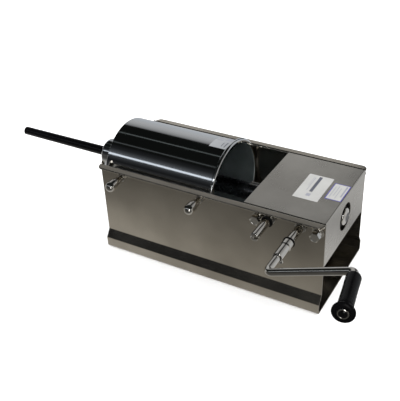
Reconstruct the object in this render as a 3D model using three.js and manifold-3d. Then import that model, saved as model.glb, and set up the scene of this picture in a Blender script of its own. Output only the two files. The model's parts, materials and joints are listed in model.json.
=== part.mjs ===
// Horizontal hand-cranked sausage stuffer, in millimetres, +Z up.
// Origin: centre of the underside of the folded body. +X runs along the body towards the gear
// cover, -Y is the side of the crank. The filling cylinder, piston and rack share one axis along X.
import * as THREE from "three";
import { mergeVertices } from "three/addons/utils/BufferGeometryUtils.js";
import Module from "manifold-3d";

const wasm = await Module();
wasm.setup();

// ---- driving dimensions ----
const BODY_LENGTH = 367;
const END_X = BODY_LENGTH / 2;
const SHEET = 1.2;
const WALL_Y = 78; // outer face of each side wall
const FOOT_Y = 86.5; // outer face of the foot lip
const FLANGE_Y = 89.6; // outer edge of the top flange
const LIP_Z = 16.2;
const LEDGE_Z = 28.7;
const TOP_Z = 151;
const HEM_WIDTH = 5;
const FLANGE_CORNER = 9;
const GAP = 0.3; // between pieces that touch
const FIT = 0.15; // around a shaft that is fixed in its hole
const RUN = 0.15; // around a shaft that turns in its hole
const INNER_Y = WALL_Y - SHEET - 0.4; // half-width of what stands between the walls

const AXIS_Z = 116; // cylinder, piston and rack
const NECK_RISE = 3.5; // of the neck, nut and nozzle over that axis
const TUBE_R = 70;
const TUBE_WALL = 1.5;
const TUBE_BACK_X = -184.5; // outer face of the closed end
const TUBE_MOUTH_X = 6.5;
const RIM_R = 3; // rolled bead around the mouth
const NECK_R = 20;
const NECK_BORE = 15;
const NECK_END_X = -206;
const NUT_R = 24;
const NUT_END_X = -229;
const NOZZLE_TIP_X = -406;
const NOZZLE_TIP_R = 7;
const NOZZLE_ROOT_R = 7.8;

const COVER_X = 61.2;
const COVER_LOW_Z = 78.5;
const COVER_HOLE_R = 21;

const ROD_R = 13;
const ROD_END_X = END_X + 3;
const PISTON_X = -178;
const PISTON_LENGTH = 20;
const MODULE = 1.5;
const PITCH = Math.PI * MODULE;
const PINION_TEETH = 14; // drives the rack from below
const FAST_PINION_TEETH = 15;
const FAST_WHEEL_TEETH = 46;
const SLOW_PINION_TEETH = 12;
const SLOW_WHEEL_TEETH = 56;
const RACK_TEETH = 45;
const TOOTH_ROOT = 0.27; // half the tooth's thickness at its root, in pitches
const TOOTH_TIP = 0.1;

const SHAFT_R = 5.3;
const FAST = { x: 102.3, z: 137 };
const SLOW = { x: 148.1, z: 137 };
const DRIVE = meshingCentre(
  FAST,
  SLOW,
  (MODULE * (FAST_PINION_TEETH + FAST_WHEEL_TEETH)) / 2,
  (MODULE * (SLOW_PINION_TEETH + SLOW_WHEEL_TEETH)) / 2,
);
const FAST_GEARS_Y = -45; // mid-plane of the pair on the crank side
const SLOW_GEARS_Y = 45;
const GEAR_WIDTH = 10;
const PLATE_THICK = 5;
const PLATE_LOW_Z = 80;
const BRACKET_Y = -29; // inner face of the bearing bracket

const RING_SLOW_Y = -119;
const HUB_END_Y = -154.5;
const ARM_Y = -187;
const ARM_LENGTH = 121;
const ARM_ANGLE = THREE.MathUtils.degToRad(21);
const GRIP_LEAN = THREE.MathUtils.degToRad(11);
const GRIP_LENGTH = 70;
const GRIP_START = 12; // from the bend, along the grip's own axis
const CRANK_R = 5;

const BOLT_X = [85, 173.4];
const BOLT_R = 4;
const BOLT_HEAD = 13;
const BOLT_Z = 136;
const HOLDER_X = [-144.2, -8.5]; // what holds the cylinder down, on both walls
const HOLDER_Z = 137;
const HOLDER_TIP_Y = 68.3;

// ---- materials ----
const metal = (color, roughness) =>
  new THREE.MeshStandardMaterial({ color, roughness, metalness: 1 });
const plain = (color, roughness) =>
  new THREE.MeshStandardMaterial({ color, roughness, metalness: 0 });
const BRUSHED = metal(0xb9b6ae, 0.38);
const POLISHED = metal(0xc9cccf, 0.14);
const MACHINED = metal(0xa5a6a8, 0.3);
const DARK_STEEL = metal(0x4a4b4d, 0.35);
const BRONZE = metal(0xa8793f, 0.35);
const CAST = metal(0x8d9094, 0.55);
const BLACK_PLASTIC = plain(0x0d0d0f, 0.42);
const BLACK_RUBBER = plain(0x101010, 0.7);
const WHITE_PLASTIC = plain(0xe9e8e2, 0.5);
const SILICONE = plain(0xd9dad6, 0.6);

// ---- helpers ----
const stuffer = new THREE.Group();

// The centre of a shaft below two others, at the given distances from them.
function meshingCentre(left, right, toLeft, toRight) {
  const span = right.x - left.x;
  const along = (toLeft ** 2 - toRight ** 2 + span ** 2) / (2 * span);
  return { x: left.x + along, z: left.z - Math.sqrt(toLeft ** 2 - along ** 2) };
}

function solid(geometry) {
  const bare = geometry.clone();
  bare.deleteAttribute("normal");
  bare.deleteAttribute("uv");
  const merged = mergeVertices(bare, 1e-4);
  return new wasm.Manifold(
    new wasm.Mesh({
      numProp: 3,
      vertProperties: new Float32Array(merged.attributes.position.array),
      triVerts: new Uint32Array(merged.index.array),
    }),
  );
}

function geometryOf(body) {
  const made = body.getMesh();
  const geometry = new THREE.BufferGeometry();
  geometry.setAttribute("position", new THREE.BufferAttribute(made.vertProperties, 3));
  geometry.setIndex(new THREE.BufferAttribute(made.triVerts, 1));
  return geometry;
}

function cut(geometry, ...tools) {
  return geometryOf(tools.reduce((body, tool) => body.subtract(solid(tool)), solid(geometry)));
}

function join(geometry, ...others) {
  return geometryOf(others.reduce((body, other) => body.add(solid(other)), solid(geometry)));
}

function add(name, geometry, material, parent = stuffer) {
  const mesh = new THREE.Mesh(geometry, material);
  mesh.name = name;
  parent.add(mesh);
  return mesh;
}

// A turned piece about the Y direction: the profile is a list of [radius, y] pairs.
function turnedY(profile, segments = 20) {
  const points = wound(profile).map(([r, y]) => new THREE.Vector2(r, y));
  return new THREE.LatheGeometry(points, segments);
}

// A turned piece about the X direction through the cylinder's axis: [radius, x] pairs.
function turnedX(profile, segments = 24) {
  return turnedY(profile, segments).rotateZ(-Math.PI / 2).translate(0, 0, AXIS_Z);
}

// Moves a piece from the cylinder's axis up to the neck's.
function onNeck(geometry) {
  return geometry.translate(0, 0, NECK_RISE);
}

// A flat outline in X and Z, from y up to y + depth.
function slabY(shape, y, depth) {
  const geometry = new THREE.ExtrudeGeometry(shape, { depth, bevelEnabled: false });
  return geometry.rotateX(Math.PI / 2).translate(0, y + depth, 0);
}

// A flat outline in Y and Z, from x up to x + depth.
function slabX(shape, x, depth) {
  const turn = new THREE.Matrix4().set(0, 0, 1, 0, 1, 0, 0, 0, 0, 1, 0, 0, 0, 0, 0, 1);
  const geometry = new THREE.ExtrudeGeometry(shape, { depth, bevelEnabled: false });
  return geometry.applyMatrix4(turn).translate(x, 0, 0);
}

function rodY(radius, x, z, y0, y1, segments = 20) {
  const rod = new THREE.CylinderGeometry(radius, radius, y1 - y0, segments);
  return rod.translate(x, (y0 + y1) / 2, z);
}

function rodX(radius, x0, x1, segments = 24) {
  const rod = new THREE.CylinderGeometry(radius, radius, x1 - x0, segments);
  return rod.rotateZ(Math.PI / 2).translate((x0 + x1) / 2, 0, AXIS_Z);
}

function box(x0, x1, y0, y1, z0, z1) {
  const block = new THREE.BoxGeometry(x1 - x0, y1 - y0, z1 - z0);
  return block.translate((x0 + x1) / 2, (y0 + y1) / 2, (z0 + z1) / 2);
}

function outline(points) {
  return new THREE.Shape(points.map(([u, v]) => new THREE.Vector2(u, v)));
}

// The closed section of a folded sheet whose outer face follows the points, thickness to the left.
function folded(points, thickness) {
  const path = points.map(([u, v]) => new THREE.Vector2(u, v));
  const normals = path.slice(1).map((p, i) => {
    const along = p.clone().sub(path[i]).normalize();
    return new THREE.Vector2(-along.y, along.x);
  });
  const inner = path.map((p, i) => {
    const before = normals[Math.max(i - 1, 0)];
    const after = normals[Math.min(i, normals.length - 1)];
    const sum = before.clone().add(after);
    return p.clone().addScaledVector(sum, thickness / (1 + before.dot(after)));
  });
  return new THREE.Shape([...path, ...inner.reverse()]);
}

function polar(radius, angle) {
  return [radius * Math.cos(angle), radius * Math.sin(angle)];
}

// Points of an arc about (u, v), from angle a to angle b in degrees.
function arc(u, v, radius, a, b, steps) {
  return Array.from({ length: steps + 1 }, (_, i) => {
    const [du, dv] = polar(radius, THREE.MathUtils.degToRad(a + ((b - a) * i) / steps));
    return [u + du, v + dv];
  });
}

// Profile points in the order that makes a solid face out, closed on itself or along the axis.
function wound(profile) {
  const area = profile.reduce((sum, [r, y], i) => {
    const [nextR, nextY] = profile[(i + 1) % profile.length];
    return sum + r * nextY - nextR * y;
  }, 0);
  return area < 0 ? [...profile].reverse() : profile;
}

// A closed ring profile between two radii and two places along the axis.
function ring(inner, outer, from, to) {
  return [
    [inner, from],
    [outer, from],
    [outer, to],
    [inner, to],
    [inner, from],
  ];
}

// ---- folded body ----
function bodyShell() {
  const side = [
    [FLANGE_Y, TOP_Z - SHEET],
    [WALL_Y, TOP_Z - SHEET],
    [WALL_Y, LEDGE_Z],
    [FOOT_Y, LIP_Z],
    [FOOT_Y, 0],
  ];
  const left = side.map(([y, z]) => [-y, z]);
  const section = folded([...left, ...side.reverse()], SHEET);
  let shell = solid(slabX(section, -END_X, BODY_LENGTH));
  for (const way of [-1, 1]) {
    const edge = [way * FLANGE_Y, way * (FLANGE_Y - HEM_WIDTH)].sort((a, b) => a - b);
    const hem = box(-END_X, END_X, edge[0], edge[1], TOP_Z - 2 * SHEET - 0.2, TOP_Z - 0.2);
    shell = shell.add(solid(hem));
  }
  const corner = outline([
    ...arc(0, 0, FLANGE_CORNER, 0, 90, 5),
    [0, FLANGE_CORNER + 1],
    [FLANGE_CORNER + 1, FLANGE_CORNER + 1],
    [FLANGE_CORNER + 1, 0],
  ]);
  const cornerTool = new THREE.ExtrudeGeometry(corner, { depth: 6, bevelEnabled: false });
  for (const quarter of [0, 1, 2, 3]) {
    const toX = quarter === 0 || quarter === 3 ? 1 : -1;
    const toY = quarter < 2 ? 1 : -1;
    const tool = cornerTool.clone().rotateZ((quarter * Math.PI) / 2);
    tool.translate(toX * (END_X - FLANGE_CORNER), toY * (FLANGE_Y - FLANGE_CORNER), TOP_Z - 4);
    shell = shell.subtract(solid(tool));
  }
  for (const way of [-1, 1]) {
    const near = way * (WALL_Y - 5);
    const far = way * (WALL_Y + 5);
    const [y0, y1] = [Math.min(near, far), Math.max(near, far)];
    for (const x of BOLT_X) shell = shell.subtract(solid(rodY(4.4, x, BOLT_Z, y0, y1, 16)));
    for (const x of HOLDER_X) shell = shell.subtract(solid(rodY(4.4, x, HOLDER_Z, y0, y1, 16)));
  }
  for (const { x, z } of [FAST, SLOW]) {
    shell = shell.subtract(solid(rodY(7.3, x, z, -WALL_Y - 5, -WALL_Y + 5)));
  }
  return geometryOf(shell);
}
add("body_shell", bodyShell(), BRUSHED);

// Plate that closes the nozzle end: a tall saddle, open at the top, that the cylinder's end fills.
const SADDLE_R = TUBE_R + 0.4;
function frontPlate() {
  const top = TOP_Z + 3;
  const corner = (INNER_Y - SADDLE_R) / 2;
  const shape = outline([
    [-INNER_Y, SHEET + GAP],
    [INNER_Y, SHEET + GAP],
    ...arc(INNER_Y - corner, top - corner, corner, 0, 180, 6),
    ...arc(0, AXIS_Z, SADDLE_R, 0, -180, 24),
    ...arc(corner - INNER_Y, top - corner, corner, 0, 180, 6),
  ]);
  return slabX(shape, -END_X, 1.5);
}
add("front_plate", frontPlate(), BRUSHED);

// Saddles that carry the cylinder inside the body.
function cradle(x) {
  const top = AXIS_Z - 20;
  const low = THREE.MathUtils.radToDeg(Math.asin(20 / SADDLE_R));
  const shape = outline([
    [-INNER_Y, SHEET + GAP],
    [INNER_Y, SHEET + GAP],
    [INNER_Y, top],
    ...arc(0, AXIS_Z, SADDLE_R, -low, -180 + low, 20),
    [-INNER_Y, top],
  ]);
  return slabX(shape, x, 2);
}
add("cradle_front", cradle(-150), BRUSHED);
add("cradle_rear", cradle(-22), BRUSHED);

// ---- gear cover ----
function gearCover() {
  const section = folded(
    [
      [END_X, COVER_LOW_Z],
      [END_X, TOP_Z],
      [COVER_X, TOP_Z],
    ],
    SHEET,
  );
  const sheet = slabY(section, -INNER_Y, 2 * INNER_Y);
  return cut(sheet, rodX(COVER_HOLE_R, END_X - 5, END_X + 5, 32));
}
add("gear_cover", gearCover(), BRUSHED);

// ---- filling cylinder, nozzle and nut ----
// The tube, its end disc and the neck are welded together, so they share one body.
const BACK_INNER_X = TUBE_BACK_X + TUBE_WALL;
const TUBE_INNER_R = TUBE_R - TUBE_WALL;
const TUBE_START_X = BACK_INNER_X + GAP;
const tubeProfile = [
  [TUBE_INNER_R, TUBE_START_X],
  [TUBE_R, TUBE_START_X],
  ...arc(TUBE_R + RIM_R, TUBE_MOUTH_X - RIM_R, RIM_R, 180, 450, 6),
  [TUBE_INNER_R, TUBE_MOUTH_X],
  [TUBE_INNER_R, TUBE_START_X],
];
add("cylinder", turnedX(tubeProfile, 40), POLISHED);

const discProfile = [
  [0, TUBE_BACK_X],
  ...arc(TUBE_INNER_R, BACK_INNER_X, TUBE_WALL, -90, 0, 3),
  [0, BACK_INNER_X],
];
const neckHole = onNeck(rodX(NECK_R + GAP, TUBE_BACK_X - 1, BACK_INNER_X + 1));
add("cylinder_end", cut(turnedX(discProfile, 40), neckHole), POLISHED);
const neckProfile = ring(NECK_BORE, NECK_R, NECK_END_X, BACK_INNER_X);
add("cylinder_neck", onNeck(turnedX(neckProfile)), POLISHED);

const GASKET_X = NECK_END_X - GAP - 1.3;
const FLANGE_FACE_X = GASKET_X - GAP; // right face of the nozzle's base flange
const gasket = ring(NECK_BORE + 0.5, NECK_R - 0.5, GASKET_X, NECK_END_X - GAP);
add("nozzle_gasket", onNeck(turnedX(gasket)), SILICONE);

function nozzleProfile() {
  const wall = 1.3;
  return [
    [NOZZLE_TIP_R - wall, NOZZLE_TIP_X],
    [NOZZLE_TIP_R, NOZZLE_TIP_X],
    [NOZZLE_ROOT_R, NUT_END_X + 4],
    [NECK_BORE - 1, FLANGE_FACE_X - 10],
    [NECK_BORE - 1, FLANGE_FACE_X - 3],
    [NECK_R - 1, FLANGE_FACE_X - 3],
    [NECK_R - 1, FLANGE_FACE_X],
    [NECK_BORE - 3, FLANGE_FACE_X],
    [NECK_BORE - 3, FLANGE_FACE_X - 9],
    [NOZZLE_ROOT_R - wall, NUT_END_X + 6],
    [NOZZLE_TIP_R - wall, NOZZLE_TIP_X],
  ];
}
add("nozzle", onNeck(turnedX(nozzleProfile(), 16)), BLACK_PLASTIC);

function nozzleNutProfile() {
  const shoulder = 6;
  const mouth = NOZZLE_ROOT_R + 1.2;
  const back = TUBE_BACK_X - 1.5;
  return [
    [mouth, NUT_END_X],
    ...arc(NUT_R - shoulder, NUT_END_X + shoulder, shoulder, -90, 0, 5),
    [NUT_R, back - 1.5],
    [NUT_R - 1.5, back],
    [NECK_R + RUN, back],
    [NECK_R + RUN, FLANGE_FACE_X - 3 - GAP],
    [NECK_BORE, FLANGE_FACE_X - 3 - GAP],
    [NECK_BORE, FLANGE_FACE_X - 10.5],
    [mouth, NUT_END_X + 3],
    [mouth, NUT_END_X],
  ];
}
add("nozzle_nut", onNeck(turnedX(nozzleNutProfile(), 28)), POLISHED);

// ---- piston and rack ----
const PISTON_R = TUBE_INNER_R - 0.9;
const SEAL_DEPTH = 5;
const SEAL_X = PISTON_X + 6;
const SEAL_WIDTH = 8;
const STUD_R = 6; // threaded end of the rack, through the piston
function pistonProfile() {
  const back = PISTON_X + PISTON_LENGTH;
  return [
    [STUD_R + FIT, PISTON_X + 9],
    [14, PISTON_X + 9],
    [14, PISTON_X],
    [PISTON_R - 1, PISTON_X],
    [PISTON_R, PISTON_X + 1],
    [PISTON_R, SEAL_X],
    [PISTON_R - SEAL_DEPTH, SEAL_X],
    [PISTON_R - SEAL_DEPTH, SEAL_X + SEAL_WIDTH],
    [PISTON_R, SEAL_X + SEAL_WIDTH],
    [PISTON_R, back - 1],
    [PISTON_R - 1, back],
    [STUD_R + FIT, back],
    [STUD_R + FIT, PISTON_X + 9],
  ];
}
add("piston", turnedX(pistonProfile(), 40), WHITE_PLASTIC);

const sealInner = PISTON_R - SEAL_DEPTH + GAP;
const seal = ring(sealInner, TUBE_INNER_R - 0.1, SEAL_X + GAP, SEAL_X + SEAL_WIDTH - GAP);
add("piston_seal", turnedX(seal, 40), SILICONE);

const nutRadius = 19 / Math.sqrt(3);
const pistonNut = rodX(nutRadius, PISTON_X + 1.2, PISTON_X + 8.7, 6);
add("piston_nut", cut(pistonNut, rodX(STUD_R + FIT, PISTON_X, PISTON_X + 10)), MACHINED);

// The rack's teeth point down; at rest a space between two teeth stands over the drive shaft.
const RACK_PITCH_Z = DRIVE.z + (MODULE * PINION_TEETH) / 2;
function rack() {
  const shoulder = PISTON_X + PISTON_LENGTH + GAP;
  const rod = turnedX([
    [0, PISTON_X + 0.5],
    [STUD_R - 1, PISTON_X + 0.5],
    [STUD_R, PISTON_X + 1.5],
    [STUD_R, shoulder],
    [ROD_R, shoulder],
    [ROD_R, ROD_END_X - 4],
    [ROD_R - 1.2, ROD_END_X - 2],
    [ROD_R - 4, ROD_END_X - 0.5],
    [0, ROD_END_X],
  ]);
  const rootZ = RACK_PITCH_Z + 1.25 * MODULE;
  const tipZ = RACK_PITCH_Z - MODULE;
  const low = AXIS_Z - ROD_R - 2;
  const last = DRIVE.x + 3 * PITCH;
  const first = last - RACK_TEETH * PITCH;
  const comb = [
    [first, low],
    [first, rootZ],
  ];
  for (let i = 0; i < RACK_TEETH; i += 1) {
    const x = first + (i + 0.5) * PITCH;
    comb.push([x - TOOTH_ROOT * PITCH, rootZ], [x - TOOTH_TIP * PITCH, tipZ]);
    comb.push([x + TOOTH_TIP * PITCH, tipZ], [x + TOOTH_ROOT * PITCH, rootZ]);
  }
  comb.push([last, rootZ], [last, low]);
  const tips = slabY(outline(comb), -20, 40);
  return cut(rod, tips);
}
add("rack", rack(), DARK_STEEL);

// ---- gears and shafts ----
// A spur gear about a Y axis, with a tooth centred on the angle `phase` in the X-Z plane.
function gear(teeth, centre, midY, phase) {
  const pitchR = (MODULE * teeth) / 2;
  const rootR = pitchR - 1.25 * MODULE;
  const tipR = pitchR + MODULE;
  const step = (2 * Math.PI) / teeth;
  const points = [];
  for (let i = 0; i < teeth; i += 1) {
    const angle = phase + i * step;
    points.push(polar(rootR, angle - TOOTH_ROOT * step), polar(tipR, angle - TOOTH_TIP * step));
    points.push(polar(tipR, angle + TOOTH_TIP * step), polar(rootR, angle + TOOTH_ROOT * step));
  }
  const shape = outline(points);
  shape.holes.push(outline(arc(0, 0, SHAFT_R + FIT, 360, 0, 20).slice(1)));
  return slabY(shape, midY - GEAR_WIDTH / 2, GEAR_WIDTH).translate(centre.x, 0, centre.z);
}

function angleTo(from, to) {
  return Math.atan2(to.z - from.z, to.x - from.x);
}

// A small gear turned so that one of its spaces faces the wheel's tooth.
function pinion(teeth, centre, midY) {
  const phase = angleTo(centre, DRIVE) + Math.PI / teeth;
  return gear(teeth, centre, midY, phase);
}
add("rack_pinion", gear(PINION_TEETH, DRIVE, 0, Math.PI / 2), MACHINED);
add("fast_wheel", gear(FAST_WHEEL_TEETH, DRIVE, FAST_GEARS_Y, angleTo(DRIVE, FAST)), MACHINED);
add("slow_wheel", gear(SLOW_WHEEL_TEETH, DRIVE, SLOW_GEARS_Y, angleTo(DRIVE, SLOW)), MACHINED);
add("fast_pinion", pinion(FAST_PINION_TEETH, FAST, FAST_GEARS_Y), MACHINED);
add("slow_pinion", pinion(SLOW_PINION_TEETH, SLOW, SLOW_GEARS_Y), MACHINED);

const SHAFT_END_Y = INNER_Y - 0.8;
add("drive_shaft", rodY(SHAFT_R, DRIVE.x, DRIVE.z, -SHAFT_END_Y, SHAFT_END_Y), MACHINED);

// Outside the wall both shafts are stouter, up to the ring on the slow one. The slow shaft carries
// the crank; its outer end sits inside the crank's hub.
const STUB_R = 6.2;
const SLOW_END_Y = -141;
const SLOW_STEP_Y = -83.5;
const RING_WIDTH = 2.4;
const slowShoulderY = RING_SLOW_Y + RING_WIDTH + GAP;
const slowShaft = turnedY([
  [0, SLOW_END_Y],
  [SHAFT_R - 0.6, SLOW_END_Y],
  [SHAFT_R, SLOW_END_Y + 1],
  [SHAFT_R, slowShoulderY],
  [STUB_R, slowShoulderY],
  [STUB_R, SLOW_STEP_Y],
  [SHAFT_R, SLOW_STEP_Y],
  [SHAFT_R, SHAFT_END_Y],
  [0, SHAFT_END_Y],
]);
add("slow_shaft", slowShaft.translate(SLOW.x, 0, SLOW.z), POLISHED);

// The fast shaft ends in a stub with a cross slot, for the crank when it is moved over.
const STUB_END_Y = -128;
const STUB_START_Y = -89.2;
function fastShaft() {
  const turned = turnedY([
    [0, STUB_END_Y],
    [STUB_R - 0.8, STUB_END_Y],
    [STUB_R, STUB_END_Y + 0.8],
    [STUB_R, STUB_START_Y],
    [SHAFT_R, STUB_START_Y],
    [SHAFT_R, BRACKET_Y - 1],
    [0, BRACKET_Y - 1],
  ]);
  const slot = box(-10, 10, STUB_END_Y - 1, STUB_END_Y + 7, -1.5, 1.5);
  return cut(turned, slot).translate(FAST.x, 0, FAST.z);
}
add("fast_shaft", fastShaft(), POLISHED);

// Black retaining rings on both shafts.
function shaftRing(y) {
  const radius = 8.6;
  const bore = SHAFT_R + FIT;
  return turnedY([
    [bore, y],
    [radius - 0.8, y],
    [radius, y + 0.8],
    [radius, y + RING_WIDTH - 0.8],
    [radius - 0.8, y + RING_WIDTH],
    [bore, y + RING_WIDTH],
    [bore, y],
  ]);
}
const fastRingY = STUB_START_Y + GAP;
add("fast_ring", shaftRing(fastRingY).translate(FAST.x, 0, FAST.z), BLACK_RUBBER);
add("slow_ring", shaftRing(RING_SLOW_Y).translate(SLOW.x, 0, SLOW.z), BLACK_RUBBER);

// ---- gear housing ----
const PLATE_X0 = COVER_X + 0.8;
const PLATE_X1 = END_X - SHEET - 0.8;
const PLATE_TOP_Z = TOP_Z - SHEET - 0.4;
const BUSH_R = 7;
function plate(x0, x1, y, bores) {
  const slab = box(x0, x1, y, y + PLATE_THICK, PLATE_LOW_Z, PLATE_TOP_Z);
  return cut(slab, ...bores.map(({ x, z, r }) => rodY(r, x, z, y - 1, y + PLATE_THICK + 1)));
}
const boltBores = BOLT_X.map((x) => ({ x, z: BOLT_Z, r: BOLT_R + FIT }));
const bushBores = (...shafts) => shafts.map(({ x, z }) => ({ x, z, r: BUSH_R + FIT }));
const nearBores = [...boltBores, ...bushBores(FAST, SLOW, DRIVE)];
const farBores = [...boltBores, ...bushBores(SLOW, DRIVE)];
add("gear_plate_near", plate(PLATE_X0, PLATE_X1, -INNER_Y, nearBores), CAST);
add("gear_plate_far", plate(PLATE_X0, PLATE_X1, INNER_Y - PLATE_THICK, farBores), CAST);

const BRACKET_OUTER_Y = BRACKET_Y - PLATE_THICK;
const bracketBores = [
  ...bushBores(FAST),
  { ...SLOW, r: SHAFT_R + 1 },
  { ...DRIVE, r: SHAFT_R + 1 },
];
add("bearing_bracket", plate(78, 166, BRACKET_OUTER_Y, bracketBores), CAST);
const STANDOFFS = [
  { name: "standoff_a", x: 84, z: 143 },
  { name: "standoff_b", x: 161, z: 86 },
];
for (const { name, x, z } of STANDOFFS) {
  const from = -INNER_Y + PLATE_THICK + GAP;
  add(name, rodY(4, x, z, from, BRACKET_OUTER_Y - GAP, 16), MACHINED);
}

// A flanged bush: y is the flange's outer face, and the bush runs on from there by `length`.
function bush(centre, y, length) {
  const bore = SHAFT_R + RUN;
  const under = y + 1.5 * Math.sign(length);
  const profile = [
    [bore, y],
    [BUSH_R + 1.4, y],
    [BUSH_R + 1.4, under],
    [BUSH_R, under],
    [BUSH_R, y + length],
    [bore, y + length],
    [bore, y],
  ];
  return turnedY(profile).translate(centre.x, 0, centre.z);
}
const WALL_BUSH_Y = -WALL_Y - GAP - 1.5;
const WALL_BUSH_LENGTH = -INNER_Y + PLATE_THICK - WALL_BUSH_Y;
const PLATE_BUSH_Y = INNER_Y - PLATE_THICK - GAP - 1.5;
const PLATE_BUSH_LENGTH = PLATE_THICK + GAP + 1.5;
add("fast_bush_near", bush(FAST, WALL_BUSH_Y, WALL_BUSH_LENGTH), MACHINED);
add("slow_bush_near", bush(SLOW, WALL_BUSH_Y, WALL_BUSH_LENGTH), MACHINED);
add("drive_bush_near", bush(DRIVE, -PLATE_BUSH_Y, -PLATE_BUSH_LENGTH), BRONZE);
add("drive_bush_far", bush(DRIVE, PLATE_BUSH_Y, PLATE_BUSH_LENGTH), BRONZE);
add("slow_bush_far", bush(SLOW, PLATE_BUSH_Y, PLATE_BUSH_LENGTH), BRONZE);
add("fast_bush_inner", bush(FAST, BRACKET_OUTER_Y - GAP - 1.5, PLATE_BUSH_LENGTH), BRONZE);

// Cross-members between the plates, each with a bore that the rack slides through.
const GUIDE_Y = INNER_Y - PLATE_THICK - GAP;
function rackGuide(x0, x1) {
  const bar = box(x0, x1, -GUIDE_Y, GUIDE_Y, AXIS_Z - 20, AXIS_Z + 18.5);
  return cut(bar, rodX(ROD_R + RUN, x0 - 1, x1 + 1));
}
// Two thin keeper ribs run out over the rack from the front member.
const RIB_START_X = 33;
function frontGuide() {
  const ribs = [-3, 3].map((y) => {
    const low = AXIS_Z + ROD_R + 0.5;
    return box(RIB_START_X, PLATE_X0 + 4, y - 0.8, y + 0.8, low, low + 2.5);
  });
  return join(rackGuide(PLATE_X0, PLATE_X0 + 10), ...ribs);
}
add("rack_guide_front", frontGuide(), MACHINED);
add("rack_guide_rear", rackGuide(168, 178), MACHINED);

// ---- crank ----
const HUB_R = 7;
const HUB_COLLAR_R = 7.8;
const HUB_START_Y = RING_SLOW_Y - GAP;
const SCREW_Y = -149.5;
const armAlong = new THREE.Vector3(Math.cos(ARM_ANGLE), 0, Math.sin(ARM_ANGLE));
const screwAlong = new THREE.Vector3(Math.sin(ARM_ANGLE), 0, -Math.cos(ARM_ANGLE));

// A rod that stands out of the hub along the screw's direction, from r0 to r1.
function radialRod(radius, r0, r1) {
  const rod = new THREE.CylinderGeometry(radius, radius, r1 - r0, 16);
  const upright = new THREE.Vector3(0, 1, 0);
  rod.applyQuaternion(new THREE.Quaternion().setFromUnitVectors(upright, screwAlong));
  const middle = screwAlong.clone().multiplyScalar((r0 + r1) / 2);
  return rod.translate(SLOW.x + middle.x, SCREW_Y, SLOW.z + middle.z);
}

function crankHub() {
  const bore = SHAFT_R + RUN;
  const turned = turnedY([
    [bore, HUB_START_Y],
    [HUB_COLLAR_R - 0.8, HUB_START_Y],
    [HUB_COLLAR_R, HUB_START_Y - 0.8],
    [HUB_COLLAR_R, HUB_START_Y - 10],
    [HUB_R, HUB_START_Y - 11.5],
    [HUB_R, HUB_END_Y + 0.8],
    [HUB_R - 0.8, HUB_END_Y],
    [bore, HUB_END_Y],
    [bore, HUB_START_Y],
  ]).translate(SLOW.x, 0, SLOW.z);
  return cut(turned, radialRod(2.4, 4, 12));
}
add("crank_hub", crankHub(), POLISHED);
const SCREW_SEAT = HUB_R + GAP;
const crankScrew = join(radialRod(2.1, CRANK_R + GAP, 8.5), radialRod(3, SCREW_SEAT, SCREW_SEAT + 4));
add("crank_screw", crankScrew, POLISHED);

// The centre line of a bent rod, as stations that each hold a point and a direction.
class RodPath extends THREE.Curve {
  constructor(stations) {
    super();
    this.stations = stations;
  }

  station(u) {
    return this.stations[Math.round(u * (this.stations.length - 1))];
  }

  getPointAt(u) {
    return this.station(u).point.clone();
  }

  getTangentAt(u) {
    return this.station(u).along.clone();
  }
}

// Stations around a bend of the given radius, from one direction to the next.
function bend(corner, before, after, radius, steps = 5) {
  const turn = before.angleTo(after);
  const side = after.clone().addScaledVector(before, -after.dot(before)).normalize();
  const start = corner.clone().addScaledVector(before, -radius * Math.tan(turn / 2));
  return Array.from({ length: steps + 1 }, (_, i) => {
    const angle = (turn * i) / steps;
    const point = start.clone().addScaledVector(before, radius * Math.sin(angle));
    point.addScaledVector(side, radius * (1 - Math.cos(angle)));
    const along = before.clone().multiplyScalar(Math.cos(angle));
    return { point, along: along.addScaledVector(side, Math.sin(angle)) };
  });
}

const outward = new THREE.Vector3(0, -1, 0);
const gripAlong = outward.clone().multiplyScalar(Math.cos(GRIP_LEAN));
gripAlong.addScaledVector(armAlong, Math.sin(GRIP_LEAN));
const bendA = new THREE.Vector3(SLOW.x, ARM_Y, SLOW.z);
const bendB = bendA.clone().addScaledVector(armAlong, ARM_LENGTH);
const BEND_R = 9;
const ROD_IN_HUB_Y = SLOW_END_Y - 1;

// One bent rod: from the hub round the first bend, along the arm, and on into the grip.
function crankRod() {
  const start = new THREE.Vector3(SLOW.x, ROD_IN_HUB_Y, SLOW.z);
  const end = bendB.clone().addScaledVector(gripAlong, GRIP_START + GRIP_LENGTH - 4);
  const path = new RodPath([
    { point: start, along: outward },
    ...bend(bendA, outward, armAlong, BEND_R),
    ...bend(bendB, armAlong, gripAlong, BEND_R),
    { point: end, along: gripAlong },
  ]);
  const section = outline(arc(0, 0, CRANK_R, 0, 360, 12).slice(1));
  const steps = path.stations.length - 1;
  return new THREE.ExtrudeGeometry(section, { steps, extrudePath: path, bevelEnabled: false });
}
add("crank_rod", crankRod(), POLISHED);

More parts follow.
